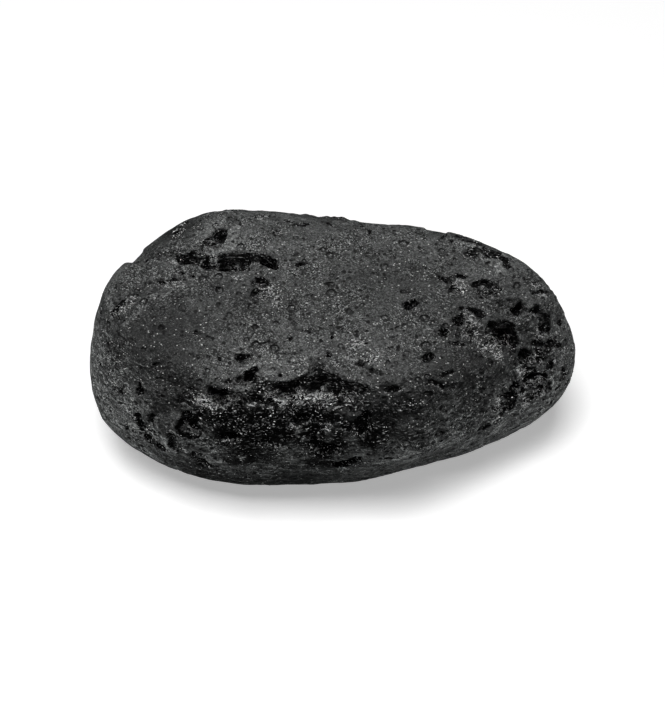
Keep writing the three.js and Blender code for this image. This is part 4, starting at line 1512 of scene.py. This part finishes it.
# %% The studio around it
SKY_LEAN = (0.8, 0.6)  # which way is bright: how much it is back, and how much up
SKY_EDGE = (0.0, 0.75)  # how far that way it begins to brighten, and is at its brightest
SKY_STRENGTH = (0.005, 0.03)  # its least and its most
BACKDROP = 1.0  # how bright the studio is where the camera sees it

world = bpy.data.worlds.new("studio")
bpy.context.scene.world = world
world.use_nodes = True
sky = world.node_tree
side = wire(sky, "ShaderNodeSeparateXYZ", out(wire(sky, "ShaderNodeTexCoord"), "Generated"))
lean = reckon(sky, "MULTIPLY", out(side, "Z"), SKY_LEAN[1])
lean = reckon(sky, "MULTIPLY_ADD", out(side, "Y"), SKY_LEAN[0], lean)
spans = *SKY_EDGE, *SKY_STRENGTH
mirrored = wire(sky, "ShaderNodeMapRange", lean, *spans, interpolation_type="SMOOTHSTEP")
seen = out(wire(sky, "ShaderNodeLightPath"), "Is Camera Ray")
strength = out(wire(sky, "ShaderNodeMix", seen, out(mirrored), BACKDROP, data_type="FLOAT"))
sky.nodes["Background"].inputs["Color"].default_value = (1, 1, 1, 1)
sky.links.new(strength, sky.nodes["Background"].inputs["Strength"])
print("the studio's strength:", SKY_STRENGTH)

# %% Lamps
LAMP_AWAY = 0.7  # metres
PAPER_LAMP = (258, 67, 0.28, 4.4)  # azimuth, rise, size in metres, watts
SOFTBOXES = [
    # azimuth, rise, size in metres, watts: what the glass mirrors
    (90, 36, 0.26, 0.2),
    (140, 62, 0.16, 0.15),
    (40, 55, 0.16, 0.15),
    (190, 32, 0.20, 0.6),
    (350, 32, 0.20, 0.5),
    (275, 82, 0.10, 0.9),
]
WASHES = [
    # azimuth, rise, size in metres, watts: what the etched skin scatters
    (120, 52, 0.40, 1.2),
    (60, 50, 0.40, 0.95),
    (188, 24, 0.40, 2.2),
    (352, 24, 0.40, 1.7),
    (212, 10, 0.20, 0.8),
    (332, 8, 0.20, 0.8),
]


def lamp(name, lit, azimuth, rise, size, watts):
    """A square lamp that faces the stone and lights one object only."""
    data = bpy.data.lights.new(name, "AREA")
    data.size = size
    data.energy = watts
    light = bpy.data.objects.new(name, data)
    bpy.context.scene.collection.objects.link(light)
    to_light = Vector(towards(azimuth, rise))
    light.location = to_light * LAMP_AWAY
    light.rotation_euler = to_light.to_track_quat("Z", "Y").to_euler()
    only = bpy.data.collections.new(f"{name}_lights")
    only.objects.link(lit)
    light.light_linking.receiver_collection = only
    return light


lamp("paper_lamp", floor, *PAPER_LAMP)
for number, box in enumerate(SOFTBOXES):
    lamp(f"softbox_{number}", stone, *box).visible_diffuse = False
for number, wash in enumerate(WASHES):
    lamp(f"wash_{number}", stone, *wash).visible_glossy = False
bpy.context.scene.view_settings.view_transform = "Standard"
print(len(SOFTBOXES), "softboxes and", len(WASHES), "washes light the stone")
